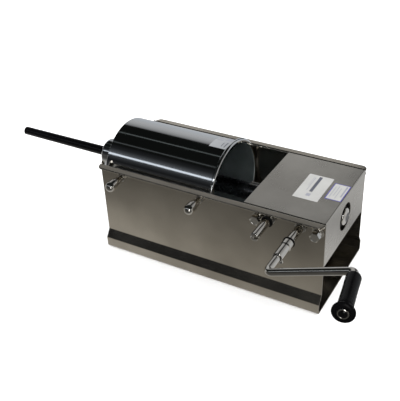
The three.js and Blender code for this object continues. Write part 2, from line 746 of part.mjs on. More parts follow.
// ---- grip, about its own +Y, set on the end of the crank ----
const gripFrame = new THREE.Group();
gripFrame.position.copy(bendB).addScaledVector(gripAlong, GRIP_START);
gripFrame.quaternion.setFromUnitVectors(new THREE.Vector3(0, 1, 0), gripAlong);
stuffer.add(gripFrame);
const GRIP_R = 9.2;
const GRIP_FLANGE_R = 13.4;
const GRIP_BORE = CRANK_R + RUN;
const capSeat = GRIP_LENGTH - 3;
const grip = turnedY([
  [GRIP_BORE, 0],
  [GRIP_R - 1.2, 0],
  [GRIP_R, 1.2],
  [GRIP_R - 0.4, GRIP_LENGTH - 12],
  [GRIP_R, GRIP_LENGTH - 8],
  [GRIP_FLANGE_R - 0.6, GRIP_LENGTH - 5],
  [GRIP_FLANGE_R, GRIP_LENGTH - 3.5],
  [GRIP_FLANGE_R, GRIP_LENGTH - 1.5],
  [GRIP_FLANGE_R - 1.5, GRIP_LENGTH],
  [7, GRIP_LENGTH],
  [7, capSeat],
  [GRIP_BORE, capSeat],
  [GRIP_BORE, 0],
]);
add("grip", grip, BLACK_PLASTIC, gripFrame);
const cap = turnedY([
  [0, capSeat + GAP],
  [6.6, capSeat + GAP],
  [6.6, GRIP_LENGTH + 0.4],
  [5, GRIP_LENGTH + 1.6],
  [0, GRIP_LENGTH + 2],
]);
add("grip_cap", cap, BLACK_PLASTIC, gripFrame);

// ---- bolts that hold the gear plates, on both walls ----
// Built about a Y axis that points out of the wall from its outer face, then set on a wall.
function onWall(geometry, x, z, way) {
  if (way < 0) geometry.rotateX(Math.PI);
  return geometry.translate(x, way * WALL_Y, z);
}
const HEAD_START = 8.9;
function bolt() {
  const head = new THREE.CylinderGeometry(BOLT_HEAD / Math.sqrt(3), BOLT_HEAD / Math.sqrt(3), 6, 6);
  const shank = rodY(BOLT_R, 0, 0, INNER_Y - PLATE_THICK - WALL_Y, HEAD_START + 1, 16);
  return join(head.translate(0, HEAD_START + 3, 0), shank);
}
function washers() {
  const bore = BOLT_R + FIT;
  return turnedY(
    [
      [bore, GAP],
      [8.5, GAP],
      [8.5, 2.3],
      [6.6, 2.3],
      [6.6, HEAD_START - GAP],
      [bore, HEAD_START - GAP],
      [bore, GAP],
    ],
    16,
  );
}

// ---- what holds the cylinder down: spring plungers on the crank side, pins on the far side ----
function plungerBarrel() {
  const hex = new THREE.CylinderGeometry(6, 6, 4, 6).translate(0, GAP + 2, 0);
  return cut(join(hex, rodY(4, 0, 0, -6, GAP + 2, 12)), rodY(2.9, 0, 0, -8, 8, 12));
}
const PLUNGER_TIP = HOLDER_TIP_Y - WALL_Y;
function plunger() {
  const domeR = 8;
  const domeMiddle = 31;
  return turnedY(
    [
      [0, PLUNGER_TIP],
      [1.9, PLUNGER_TIP],
      [2.6, PLUNGER_TIP + 0.8],
      [2.6, 5],
      [4.2, 5],
      [4.2, 11],
      [6, 11.8],
      [6, 16],
      [7, 16.8],
      [7, 22],
      [domeR, 23],
      ...arc(0, domeMiddle, domeR, 0, 90, 3),
    ],
    12,
  );
}

// A fixed pin on the far wall, with a hexagon head outside and a nut inside.
function locatingPin() {
  const head = new THREE.CylinderGeometry(6, 6, 5, 6).translate(0, GAP + 2.5, 0);
  const shank = rodY(4, 0, 0, PLUNGER_TIP + 2, GAP + 1, 12);
  return join(head, shank, rodY(2.6, 0, 0, PLUNGER_TIP, PLUNGER_TIP + 3, 12));
}
function pinNut() {
  const inner = -SHEET - GAP;
  const nut = new THREE.CylinderGeometry(6, 6, 3.5, 6).translate(0, inner - 1.75, 0);
  return cut(nut, rodY(4 + FIT, 0, 0, inner - 5, inner + 1, 12));
}

for (const [side, way] of [
  ["near", -1],
  ["far", 1],
]) {
  BOLT_X.forEach((x, i) => {
    add(`bolt_${side}_${i + 1}`, onWall(bolt(), x, BOLT_Z, way), MACHINED);
    add(`washers_${side}_${i + 1}`, onWall(washers(), x, BOLT_Z, way), MACHINED);
  });
}
HOLDER_X.forEach((x, i) => {
  add(`plunger_barrel_${i + 1}`, onWall(plungerBarrel(), x, HOLDER_Z, -1), MACHINED);
  add(`plunger_${i + 1}`, onWall(plunger(), x, HOLDER_Z, -1), POLISHED);
  add(`locating_pin_${i + 1}`, onWall(locatingPin(), x, HOLDER_Z, 1), MACHINED);
  add(`pin_nut_${i + 1}`, onWall(pinNut(), x, HOLDER_Z, 1), MACHINED);
});

export default stuffer;
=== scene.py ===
import cmath
import json
import math
from types import SimpleNamespace

import bmesh
import bpy
from mathutils import Matrix, Vector


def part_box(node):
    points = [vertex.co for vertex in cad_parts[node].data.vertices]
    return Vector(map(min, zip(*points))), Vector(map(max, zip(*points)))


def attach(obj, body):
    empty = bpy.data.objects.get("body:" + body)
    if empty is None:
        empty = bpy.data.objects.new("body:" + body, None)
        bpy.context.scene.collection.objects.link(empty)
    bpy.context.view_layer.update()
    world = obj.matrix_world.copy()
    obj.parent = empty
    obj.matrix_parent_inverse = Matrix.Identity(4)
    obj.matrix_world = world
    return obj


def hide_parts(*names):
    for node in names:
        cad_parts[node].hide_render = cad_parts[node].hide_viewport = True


# A hand-cranked sausage stuffer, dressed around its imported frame. Shapes are worked out in
# millimetres and become metres when a mesh is made. +X runs to the gear cover, -Y is the crank's side.

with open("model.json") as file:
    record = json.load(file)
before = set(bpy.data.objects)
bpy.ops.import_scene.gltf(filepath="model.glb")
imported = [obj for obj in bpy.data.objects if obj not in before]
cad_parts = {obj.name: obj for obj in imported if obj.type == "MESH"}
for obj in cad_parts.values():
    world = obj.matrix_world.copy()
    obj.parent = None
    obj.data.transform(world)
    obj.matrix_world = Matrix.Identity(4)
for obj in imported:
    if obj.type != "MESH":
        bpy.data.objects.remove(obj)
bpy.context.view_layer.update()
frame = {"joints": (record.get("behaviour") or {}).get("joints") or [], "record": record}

MM = 0.001
SHEET = 1.2
WALL_Y = 78.0
FOOT_Y = 86.5
LIP_Z = 16.2
LEDGE_Z = 28.7
GAP = 0.3
SADDLE_R = 70.4
BORE_R = 5.45  # around the shafts
BOLT_BORE_R = 4.15
HOLDER_HEX = 10.39  # across the flats of what locates the cylinder
HOLDER_TIP_Y = 68.3
ROUND = 72  # steps round a turned piece
FINE = 120  # steps round the cylinder and what fits in it

scene = bpy.context.scene
joints = {joint["name"]: joint for joint in frame["joints"]}
record = frame["record"]
body_of = {node: body for body, nodes in record["behaviour"]["bodies"].items() for node in nodes}
slot_of = {part["node"]: part["material_slot"] for part in record["subparts"]}


def box_of(node):
    """A CAD node's box, in millimetres, with its middle and its radius about a level axis."""
    low, high = (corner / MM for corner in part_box(node))
    return SimpleNamespace(
        x0=low.x, x1=high.x, y0=low.y, y1=high.y, z0=low.z, z1=high.z,
        mid=(low + high) / 2, radius=(high.z - low.z) / 2,
    )


def joint_place(name):
    """Where a hinge is, in millimetres, and which way its axis points."""
    joint = joints[name]
    return Vector(joint["pos_m"]) / MM, Vector(joint["axis"]).normalized()


# ---- materials ----
class Nodes:
    """A material's node tree, with short calls that add and join its nodes."""

    def __init__(self, name, **sockets):
        self.material = bpy.data.materials.new(name)
        self.material.use_nodes = True
        self.tree = self.material.node_tree
        self.shader = self.tree.nodes["Principled BSDF"]
        for socket, value in sockets.items():
            self.shader.inputs[socket.replace("_", " ")].default_value = value
        self.place = self.add("ShaderNodeTexCoord").outputs["Object"]

    def add(self, kind, **values):
        node = self.tree.nodes.new(kind)
        for socket, value in values.items():
            node.inputs[socket.replace("_", " ")].default_value = value
        return node

    def join(self, start, end):
        self.tree.links.new(start, end)

    def noise(self, scale, stretch=(1, 1, 1), detail=3.0, roughness=0.5):
        """Noise with `scale` cells to the metre, packed closer along each axis by `stretch`."""
        mapping = self.add("ShaderNodeMapping", Scale=stretch)
        self.join(self.place, mapping.inputs["Vector"])
        noise = self.add("ShaderNodeTexNoise", Scale=scale, Detail=detail, Roughness=roughness)
        self.join(mapping.outputs["Vector"], noise.inputs["Vector"])
        return noise.outputs["Fac"]

    def between(self, factor, low, high):
        """A number that runs from low to high as the noise goes from its usual low to its high."""
        spread = self.add("ShaderNodeMapRange", From_Min=0.3, From_Max=0.7, To_Min=low, To_Max=high)
        self.join(factor, spread.inputs["Value"])
        return spread.outputs["Result"]

    def blend(self, factor, first, second):
        mix = self.tree.nodes.new("ShaderNodeMix")
        mix.data_type = "RGBA"
        mix.inputs["A"].default_value = (*first, 1)
        mix.inputs["B"].default_value = (*second, 1)
        self.join(factor, mix.inputs["Factor"])
        return mix.outputs["Result"]

    def bump(self, height, strength, distance, under=None):
        bump = self.add("ShaderNodeBump", Strength=strength, Distance=distance)
        self.join(height, bump.inputs["Height"])
        if under is not None:
            self.join(under, bump.inputs["Normal"])
        return bump.outputs["Normal"]


def metal(name, first, second, rough, mottle, grain, stretch, scratch, wave=0.0, metallic=1.0):
    """Bare metal: cloudy colour, fine lines along one way, uneven polish and a slight waviness."""
    made = Nodes(name, Metallic=metallic)
    cloud = made.between(made.noise(mottle, detail=4.0), 0.0, 1.0)
    made.join(made.blend(cloud, first, second), made.shader.inputs["Base Color"])
    lines = made.noise(grain, stretch, detail=5.0, roughness=0.6)
    smudge = made.noise(mottle * 2.3, detail=5.0, roughness=0.65)
    uneven = made.add("ShaderNodeMath")
    uneven.operation = "MULTIPLY_ADD"
    uneven.inputs[1].default_value = 0.35
    made.join(lines, uneven.inputs[0])
    made.join(smudge, uneven.inputs[2])
    spread = made.add("ShaderNodeMapRange", From_Min=0.45, From_Max=0.9)
    spread.inputs["To Min"].default_value = rough[0]
    spread.inputs["To Max"].default_value = rough[1]
    made.join(uneven.outputs["Value"], spread.inputs["Value"])
    made.join(spread.outputs["Result"], made.shader.inputs["Roughness"])
    normal = None
    if wave:
        normal = made.bump(made.noise(9.0, detail=1.0), 1.0, wave)
    normal = made.bump(lines, scratch, 0.00004, normal)
    made.join(normal, made.shader.inputs["Normal"])
    return made.material


def moulded(name, first, second, rough, grain=900.0, depth=0.00003, strength=0.25, **sockets):
    """Plastic, rubber or paper: a slightly uneven colour with a fine grain."""
    made = Nodes(name, **sockets)
    cloud = made.between(made.noise(35.0, detail=4.0), 0.0, 1.0)
    made.join(made.blend(cloud, first, second), made.shader.inputs["Base Color"])
    fine = made.noise(grain, detail=3.0)
    scuffs = made.noise(60.0, detail=5.0, roughness=0.7)
    made.join(made.between(scuffs, *rough), made.shader.inputs["Roughness"])
    made.join(made.bump(fine, strength, depth), made.shader.inputs["Normal"])
    return made.material


ALONG_X = (0.02, 1, 1)
ALONG_Y = (1, 0.02, 1)
EVEN = (1, 1, 1)

SHEET_STEEL = metal(
    "sheet_steel", (0.66, 0.615, 0.54), (0.38, 0.35, 0.30),
    (0.16, 0.27), 6.0, 1500.0, ALONG_X, 0.08, 0.0004,
)
COVER_STEEL = metal(
    "cover_steel", (0.64, 0.62, 0.575), (0.50, 0.48, 0.44),
    (0.20, 0.30), 8.0, 1500.0, ALONG_Y, 0.05, 0.0002,
)
MIRROR = metal(
    "mirror_steel", (0.74, 0.76, 0.78), (0.68, 0.70, 0.72),
    (0.04, 0.11), 14.0, 1300.0, ALONG_X, 0.03, 0.00003,
)
# Darker steel for the cylinder's bore and the neck: its dark base colour is painted shade inside the
# cylinder, while its satin roughness is the metal's own.
SATIN_STEEL_PAINTED_SHADE = metal(
    "satin_steel_painted_shade", (0.24, 0.28, 0.285), (0.10, 0.12, 0.125),
    (0.25, 0.42), 11.0, 1200.0, ALONG_X, 0.02, metallic=0.7,
)
POLISHED = metal(
    "polished_steel", (0.78, 0.76, 0.72), (0.66, 0.64, 0.60),
    (0.04, 0.13), 40.0, 1800.0, ALONG_Y, 0.05, 0.0003,
)
MACHINED = metal(
    "machined_steel", (0.56, 0.55, 0.53), (0.46, 0.45, 0.43),
    (0.20, 0.36), 45.0, 1600.0, EVEN, 0.3,
)
# A dark steel colour for the rack rod.
RACK_STEEL = metal(
    "dark_rack_steel", (0.20, 0.205, 0.215), (0.12, 0.122, 0.13),
    (0.16, 0.38), 24.0, 1200.0, ALONG_X, 0.04,
)
BRONZE = metal(
    "bronze", (0.62, 0.44, 0.24), (0.48, 0.33, 0.17),
    (0.28, 0.45), 60.0, 1500.0, EVEN, 0.6,
)
CAST = metal(
    "cast_plate", (0.42, 0.43, 0.44), (0.34, 0.345, 0.35),
    (0.42, 0.60), 30.0, 700.0, EVEN, 0.8,
)
BLACK = moulded(
    "black_plastic", (0.001, 0.001, 0.0012), (0.0024, 0.0024, 0.0028), (0.22, 0.34),
    strength=0.1, Specular_IOR_Level=0.09,
)
GLOSS_BLACK = moulded(
    "gloss_black", (0.001, 0.001, 0.0012), (0.002, 0.002, 0.0023), (0.10, 0.18),
    strength=0.08, Specular_IOR_Level=0.3,
)
RUBBER = moulded(
    "black_rubber", (0.001, 0.001, 0.001), (0.003, 0.003, 0.003), (0.5, 0.7),
    Specular_IOR_Level=0.2,
)
WHITE = moulded("white_plastic", (0.78, 0.77, 0.73), (0.70, 0.69, 0.65), (0.35, 0.5))
SILICONE = moulded("silicone", (0.66, 0.67, 0.66), (0.58, 0.59, 0.58), (0.45, 0.6))
PAPER = moulded("label_paper", (0.345, 0.345, 0.335), (0.315, 0.315, 0.306), (0.32, 0.45), 1500.0)
SILVER_PAPER = moulded(
    "silver_label", (0.245, 0.255, 0.265), (0.20, 0.21, 0.22), (0.25, 0.4), 1500.0
)
INK_BLUE = moulded("blue_ink", (0.055, 0.05, 0.20), (0.07, 0.065, 0.23), (0.35, 0.5), 1500.0)
INK_GREY = moulded("grey_ink", (0.055, 0.06, 0.08), (0.08, 0.085, 0.105), (0.35, 0.5), 1500.0)
INK_PALE = moulded("pale_ink", (0.19, 0.195, 0.23), (0.22, 0.225, 0.255), (0.35, 0.5), 1500.0)


# ---- outlines ----
def fillet(points, closed=False, steps=5):
    """A line through (u, v) or (u, v, radius) points, with an arc at each corner that has a radius."""
    corners = [(complex(point[0], point[1]), point[2] if len(point) > 2 else 0) for point in points]
    made = []
    for i, (here, radius) in enumerate(corners):
        if not radius or (not closed and i in (0, len(corners) - 1)):
            made.append(here)
            continue
        before = corners[i - 1][0] - here
        after = corners[(i + 1) % len(corners)][0] - here
        half = abs(cmath.phase(after / before)) / 2
        if half > math.radians(89.5):
            made.append(here)
            continue
        back = min(radius / math.tan(half), 0.48 * min(abs(before), abs(after)))
        start = here + before / abs(before) * back
        inward = before / abs(before) + after / abs(after)
        middle = here + inward / abs(inward) * back / math.cos(half)
        end = here + after / abs(after) * back
        turn = cmath.phase((end - middle) / (start - middle))
        for step in range(steps + 1):
            made.append(middle + (start - middle) * cmath.rect(1, turn * step / steps))
    return [(point.real, point.imag) for point in made]


def circle(u, v, radius, steps=ROUND, start=0.0, turn=2 * math.pi):
    """Points round a circle, or along the part of it from `start` through `turn`."""
    count = steps if turn >= 2 * math.pi else steps + 1
    angles = [start + turn * step / steps for step in range(count)]
    return [(u + radius * math.cos(angle), v + radius * math.sin(angle)) for angle in angles]


def ring_profile(low, high, inner, outer, soft_inside, soft_outside):
    return [
        (low, inner, soft_inside), (low, outer, soft_outside),
        (high, outer, soft_outside), (high, inner, soft_inside),
    ]


def rectangle(u0, v0, u1, v1, *radius):
    return [(u0, v0, *radius), (u1, v0, *radius), (u1, v1, *radius), (u0, v1, *radius)]


# ---- meshes ----
def mesh_of(name, points, faces):
    """A mesh in metres from points in millimetres, welded and with its faces pointing out."""
    mesh = bpy.data.meshes.new(name)
    mesh.from_pydata([Vector(point) * MM for point in points], [], faces)
    tidy_mesh(mesh)
    return mesh


def tidy_mesh(mesh):
    made = bmesh.new()
    made.from_mesh(mesh)
    bmesh.ops.remove_doubles(made, verts=made.verts, dist=0.000002)
    bmesh.ops.dissolve_degenerate(made, edges=made.edges, dist=0.000002)
    bmesh.ops.recalc_face_normals(made, faces=made.faces)
    made.to_mesh(mesh)
    made.free()


def placed(mesh, matrix):
    """The mesh after a matrix in millimetres."""
    moved = matrix.copy()
    moved.translation = matrix.translation * MM
    mesh.transform(moved)
    return mesh


def aim(origin, direction, upward=(0, 0, 1)):
    """A place whose local Z runs along `direction`, and whose local Y leans to `upward`."""
    along = Vector(direction).normalized()
    side = Vector(upward).cross(along)
    if side.length < 0.01:
        side = Vector((1, 0, 0))
    side.normalize()
    matrix = Matrix((side, along.cross(side), along)).transposed().to_4x4()
    matrix.translation = Vector(origin)
    return matrix


def turned(name, rings, closed=False, steps=ROUND):
    """A turned mesh about local Z. Each ring is (along, radius), or a function of the angle."""
    points = []
    rows = []
    for ring in rings:
        if not callable(ring) and ring[1] == 0:
            rows.append([len(points)] * steps)
            points.append((0, 0, ring[0]))
            continue
        rows.append(list(range(len(points), len(points) + steps)))
        for step in range(steps):
            angle = 2 * math.pi * step / steps
            along, radius = ring(angle) if callable(ring) else ring
            points.append((radius * math.cos(angle), radius * math.sin(angle), along))
    pairs = list(zip(rows, rows[1:]))
    if closed:
        pairs.append((rows[-1], rows[0]))
    faces = []
    for lower, upper in pairs:
        for step in range(steps):
            after = (step + 1) % steps
            corners = [lower[step], lower[after], upper[after], upper[step]]
            faces.append(list(dict.fromkeys(corners)))
    if not closed:
        for row in (rows[0], rows[-1]):
            if row[0] != row[1]:
                faces.append(row)
    return mesh_of(name, points, [face for face in faces if len(face) > 2])


def linked(name, data):
    made = bpy.data.objects.new(name, data)
    scene.collection.objects.link(made)
    return made


def evaluated(thing):
    """A mesh of what an object looks like after its modifiers, or a curve after its bevel."""
    bpy.context.view_layer.update()
    ready = thing.evaluated_get(bpy.context.evaluated_depsgraph_get())
    return bpy.data.meshes.new_from_object(ready)


def slab(name, outlines, thickness, edge=0.3, steps=2):
    """A plate in local X and Y, from local Z 0 up, with holes after its first outline and soft edges."""
    curve = bpy.data.curves.new(name, "CURVE")
    curve.dimensions = "2D"
    curve.fill_mode = "BOTH"
    curve.extrude = (thickness / 2 - edge) * MM
    curve.bevel_depth = edge * MM
    curve.bevel_resolution = steps
    curve.offset = -edge * MM
    for outline in outlines:
        spline = curve.splines.new("POLY")
        spline.points.add(len(outline) - 1)
        for point, (u, v) in zip(spline.points, outline):
            point.co = (u * MM, v * MM, 0, 1)
        spline.use_cyclic_u = True
    holder = linked(name, curve)
    mesh = evaluated(holder)
    bpy.data.objects.remove(holder)
    tidy_mesh(mesh)
    mesh.transform(Matrix.Translation((0, 0, thickness / 2 * MM)))
    return mesh


def quads(rows, count):
    """Faces between each closed row of `count` points and the next."""
    faces = []
    for first in range(0, (rows - 1) * count, count):
        for i in range(count):
            after = (i + 1) % count
            faces.append((first + i, first + after, first + count + after, first + count + i))
    return faces


def flat_ends(rows, count):
    """Faces that close the first and last rows, where the two halves of a row face each other."""
    faces = []
    for first in (0, (rows - 1) * count):
        for i in range(count // 2 - 1):
            across = count - 1 - i
            faces.append((first + i, first + i + 1, first + across - 1, first + across))
    return faces


def folded(name, centre_line, stations, place, shift=None):
    """A folded sheet: a section of the sheet's thickness, repeated at each station."""
    line = [complex(u, v) for u, v in centre_line]
    sides = []
    for i, here in enumerate(line):
        before = here - line[max(i - 1, 0)]
        after = line[min(i + 1, len(line) - 1)] - here
        ways = [way / abs(way) for way in (before, after) if abs(way) > 1e-6]
        along = sum(ways) / len(ways)
        sides.append(along * 1j * SHEET / 2 / abs(along) ** 2)
    outer = [here - side for here, side in zip(line, sides)]
    inner = [here + side for here, side in zip(line, sides)]
    section = outer + inner[::-1]
    points = []
    for station in stations:
        for corner in section:
            u, v = (corner.real, corner.imag)
            if shift:
                u, v = shift(u, v, station)
            points.append(place(u, v, station))
    size = (len(stations), len(section))
    return mesh_of(name, points, quads(*size) + flat_ends(*size))


def swept(name, stations, radius, steps=32):
    """A round rod through the stations, closed with flat ends."""
    ways = []
    for i, here in enumerate(stations):
        way = stations[min(i + 1, len(stations) - 1)] - stations[max(i - 1, 0)]
        ways.append(way.normalized())
    side = ways[0].orthogonal().normalized()
    points = []
    for here, way in zip(stations, ways):
        side = (side - way * side.dot(way)).normalized()
        other = way.cross(side)
        for step in range(steps):
            angle = 2 * math.pi * step / steps
            points.append(here + radius * (math.cos(angle) * side + math.sin(angle) * other))
    faces = quads(len(stations), steps)
    faces.append(tuple(range(steps)))
    faces.append(tuple(range(len(points) - steps, len(points))))
    return mesh_of(name, points, faces)


# ---- pieces ----
def joined(name, meshes):
    """One mesh that holds several closed ones."""
    made = bmesh.new()
    for mesh in meshes:
        made.from_mesh(mesh)
        bpy.data.meshes.remove(mesh)
    whole = bpy.data.meshes.new(name)
    made.to_mesh(whole)
    made.free()
    return whole


def carved(mesh, *tools):
    """The mesh after each tool mesh is cut away from it."""
    body = linked("carving", mesh)
    cutters = []
    for tool in tools:
        cutter = linked("cutter", tool)
        cutters.append(cutter)
        cut = body.modifiers.new("cut", "BOOLEAN")
        cut.operation = "DIFFERENCE"
        cut.solver = "EXACT"
        cut.object = cutter
    made = evaluated(body)
    for spare in (body, *cutters):
        bpy.data.objects.remove(spare)
    tidy_mesh(made)
    return made


def piece(name, mesh, material, nodes, edge=0.0, smooth=40, slot=None):
    """Puts a mesh in the scene in place of its CAD nodes. What replaces none is on the fixed body."""
    body = body_of[nodes[0]] if nodes else "body"
    slot = slot or slot_of[nodes[0]]
    mesh.name = name
    mesh.materials.clear()
    mesh.materials.append(material)
    made = linked(name, mesh)
    if edge:
        bevel = made.modifiers.new("soft_edges", "BEVEL")
        bevel.width = edge * MM
        bevel.segments = 2
        bevel.limit_method = "ANGLE"
        bevel.angle_limit = math.radians(35)
        made.data = evaluated(made)
        made.data.name = name
        made.modifiers.clear()
    made.data.shade_smooth()
    made.data.set_sharp_from_angle(angle=math.radians(smooth))
    weighted = made.modifiers.new("weighted_normals", "WEIGHTED_NORMAL")
    weighted.keep_sharp = True
    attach(made, body)
    if nodes:
        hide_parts(*nodes)
    return made


def lathe(name, profile, place, material, nodes, closed=False, steps=ROUND):
    """A turned piece from a profile of (along, radius) or (along, radius, corner radius) points."""
    rings = fillet(profile, closed)
    mesh = placed(turned(name, rings, closed, steps), place)
    return piece(name, mesh, material, nodes)


def recolour(made, material, chosen):
    """Gives a second material to the faces that `chosen` picks by their middle and their normal."""
    made.data.materials.append(material)
    for face in made.data.polygons:
        if chosen(face.center / MM, face.normal):
            face.material_index = 1


AXIS = box_of("cylinder").mid
X_AXIS = aim((0, 0, AXIS.z), (1, 0, 0))  # local Z becomes X
NECK_AXIS = aim((0, 0, box_of("cylinder_neck").mid.z), (1, 0, 0))


# ---- folded body ----
def body_shell():
    shell = box_of("body_shell")
    half = SHEET / 2
    wall = WALL_Y - half
    edge = shell.y1 - half
    hem_top = shell.z1 - half - SHEET - 0.2
    droop = 0.5  # the flange's outer edge hangs a little lower than its root
    side = [
        (edge - 5, hem_top - droop),
        (edge + 0.05, hem_top - droop, 0.69),
        (edge + 0.05, shell.z1 - half - droop, 0.69),
        (wall, shell.z1 - half, 2.2),
        (wall, LEDGE_Z + 0.3, 1.6),
        (FOOT_Y - half, LIP_Z + 0.3, 1.6),
        (FOOT_Y - half, half, 1.8),
    ]
    left = [(-point[0], *point[1:]) for point in side]
    centre_line = fillet(left + side[::-1], steps=6)
    corner = 9.0
    root = WALL_Y + 2.0
    ends = [0, 0.15, 0.6, 1.3, 2.3, 3.5, 5.0, 7.0, 9.0]
    stations = [shell.x0 + end for end in ends]
    stations += [shell.x0 + 9.0 + (shell.x1 - shell.x0 - 18.0) * i / 24 for i in range(1, 24)]
    stations += [shell.x1 - end for end in reversed(ends)]

    def rounded_corner(y, z, x):
        from_end = min(x - shell.x0, shell.x1 - x)
        if abs(y) <= root or from_end >= corner or z < LEDGE_Z:
            return y, z
        inset = corner - math.sqrt(corner**2 - (corner - from_end) ** 2)
        squeeze = (shell.y1 - inset - root) / (shell.y1 - root)
        return math.copysign(root + (abs(y) - root) * squeeze, y), z

    mesh = folded("body_shell", centre_line, stations, lambda y, z, x: (x, y, z), rounded_corner)
    holes = []
    shaft_hole_r = 7.3
    fitting_hole_r = 4.4
    for node in ("fast_shaft", "slow_shaft"):
        holes.append(hole_tool(node, -1, shaft_hole_r))
    for fitting, way in (("bolt_near", -1), ("plunger", -1), ("bolt_far", 1), ("locating_pin", 1)):
        for number in (1, 2):
            holes.append(hole_tool(f"{fitting}_{number}", way, fitting_hole_r))
    mesh = carved(mesh, *holes)
    piece("shell", mesh, SHEET_STEEL, ["body_shell"], edge=0.18, smooth=30)


def hole_tool(node, way, radius):
    """What cuts a node's hole in the near wall (way -1) or the far one (way 1)."""
    middle = box_of(node).mid
    place = aim((middle.x, way * WALL_Y, middle.z), (0, 1, 0))
    return placed(turned("hole", [(-4, radius), (4, radius)]), place)


# ---- closing plate and saddles ----
TO_X = Matrix(((0, 0, 1), (1, 0, 0), (0, 1, 0))).to_4x4()  # a flat outline in Y and Z, thick along +X
TO_Y = Matrix(((1, 0, 0), (0, 0, -1), (0, 1, 0))).to_4x4()  # a flat outline in X and Z, thick along -Y


def upright(outline, node):
    """A plate that stands across the body, from an outline in Y and Z."""
    plate = box_of(node)
    mesh = slab(node, [fillet(outline, True)], plate.x1 - plate.x0, 0.25)
    place = Matrix.Translation((plate.x0, 0, 0)) @ TO_X
    piece(node + "_piece", placed(mesh, place), SHEET_STEEL, [node])


def front_plate():
    plate = box_of("front_plate")
    corner = (plate.y1 - SADDLE_R) / 2
    outline = [(plate.y0, plate.z0, 1), (plate.y1, plate.z0, 1), (plate.y1, plate.z1, corner)]
    outline += [(SADDLE_R, plate.z1, corner)]
    outline += circle(0, AXIS.z, SADDLE_R, 64, 0, -math.pi)
    outline += [(-SADDLE_R, plate.z1, corner), (plate.y0, plate.z1, corner)]
    upright(outline, "front_plate")


def saddle(node):
    plate = box_of(node)
    low = math.asin((AXIS.z - plate.z1) / SADDLE_R)
    outline = [(plate.y0, plate.z0, 2), (plate.y1, plate.z0, 2), (plate.y1, plate.z1, 1)]
    outline += circle(0, AXIS.z, SADDLE_R, 48, -low, -(math.pi - 2 * low))
    outline += [(plate.y0, plate.z1, 1)]
    upright(outline, node)


# ---- gear cover ----
def gear_cover():
    cover = box_of("gear_cover")
    half = SHEET / 2
    centre_line = fillet([
        (cover.x1 - half, cover.z0),
        (cover.x1 - half, cover.z1 - half, 1.5),
        (cover.x0, cover.z1 - half),
    ], steps=8)
    stations = [cover.y0 + (cover.y1 - cover.y0) * i / 12 for i in range(13)]
    mesh = folded("gear_cover", centre_line, stations, lambda x, z, y: (x, y, z))
    hole = turned("hole", [(-5, 21), (5, 21)], steps=FINE)
    mesh = carved(mesh, placed(hole, aim((cover.x1, 0, AXIS.z), (1, 0, 0))))
    piece("cover", mesh, COVER_STEEL, ["gear_cover"], edge=0.2, smooth=30)


# ---- cylinder, neck, nut and nozzle ----
def cylinder():
    tube = box_of("cylinder")
    end = box_of("cylinder_end")
    radius = end.radius
    wall = 1.5
    rim = tube.radius - radius
    bead = rim / 2
    profile = [(end.x0, 0), (end.x0, radius, 1.3), (tube.x1 - bead - 1.4, radius)]
    start = math.radians(-115)  # the bead is rolled outwards and back onto the tube
    profile += circle(tube.x1 - bead, radius + bead, bead, 20, start, -2 * math.pi - start)
    profile += [(tube.x1, radius - 0.2, 1), (tube.x1 - 1.3, radius - wall, 1)]
    profile += [(tube.x1 - 60, radius - wall), (end.x0 + wall, radius - wall, 1.5)]
    profile += [(end.x0 + wall, 0)]
    neck = box_of("cylinder_neck")
    neck_r = neck.radius
    hole = turned("hole", [(end.x0 - 2, neck_r - 0.05), (end.x0 + 4, neck_r - 0.05)])
    mesh = placed(turned("cylinder", fillet(profile), steps=FINE), X_AXIS)
    mesh = carved(mesh, placed(hole, NECK_AXIS))
    made = piece("cylinder_piece", mesh, MIRROR, ["cylinder", "cylinder_end"], smooth=50)

    def is_painted_shade_bore(middle, _):
        from_axis = math.hypot(middle.y, middle.z - AXIS.z)
        return from_axis < radius - wall / 2 and middle.x > end.x0 + 0.5

    # The bore's faces get the darker steel: painted shade inside the cylinder.
    recolour(made, SATIN_STEEL_PAINTED_SHADE, is_painted_shade_bore)

    bore = neck_r - 5
    profile = [(neck.x1, bore, 0.5), (neck.x0, bore, 0.8), (neck.x0, neck_r, 0.8)]
    crest = neck.x0 + 1.5
    while crest + 2 < end.x0 - 1:  # thread for the nut
        profile += [(crest, neck_r), (crest + 1, neck_r - 0.8), (crest + 2, neck_r)]
        crest += 2
    profile += [(neck.x1, neck_r, 0.3)]
    # The neck, inside the nut, takes the same darker steel with its painted shade.
    lathe("neck_piece", profile, NECK_AXIS, SATIN_STEEL_PAINTED_SHADE, ["cylinder_neck"], True)


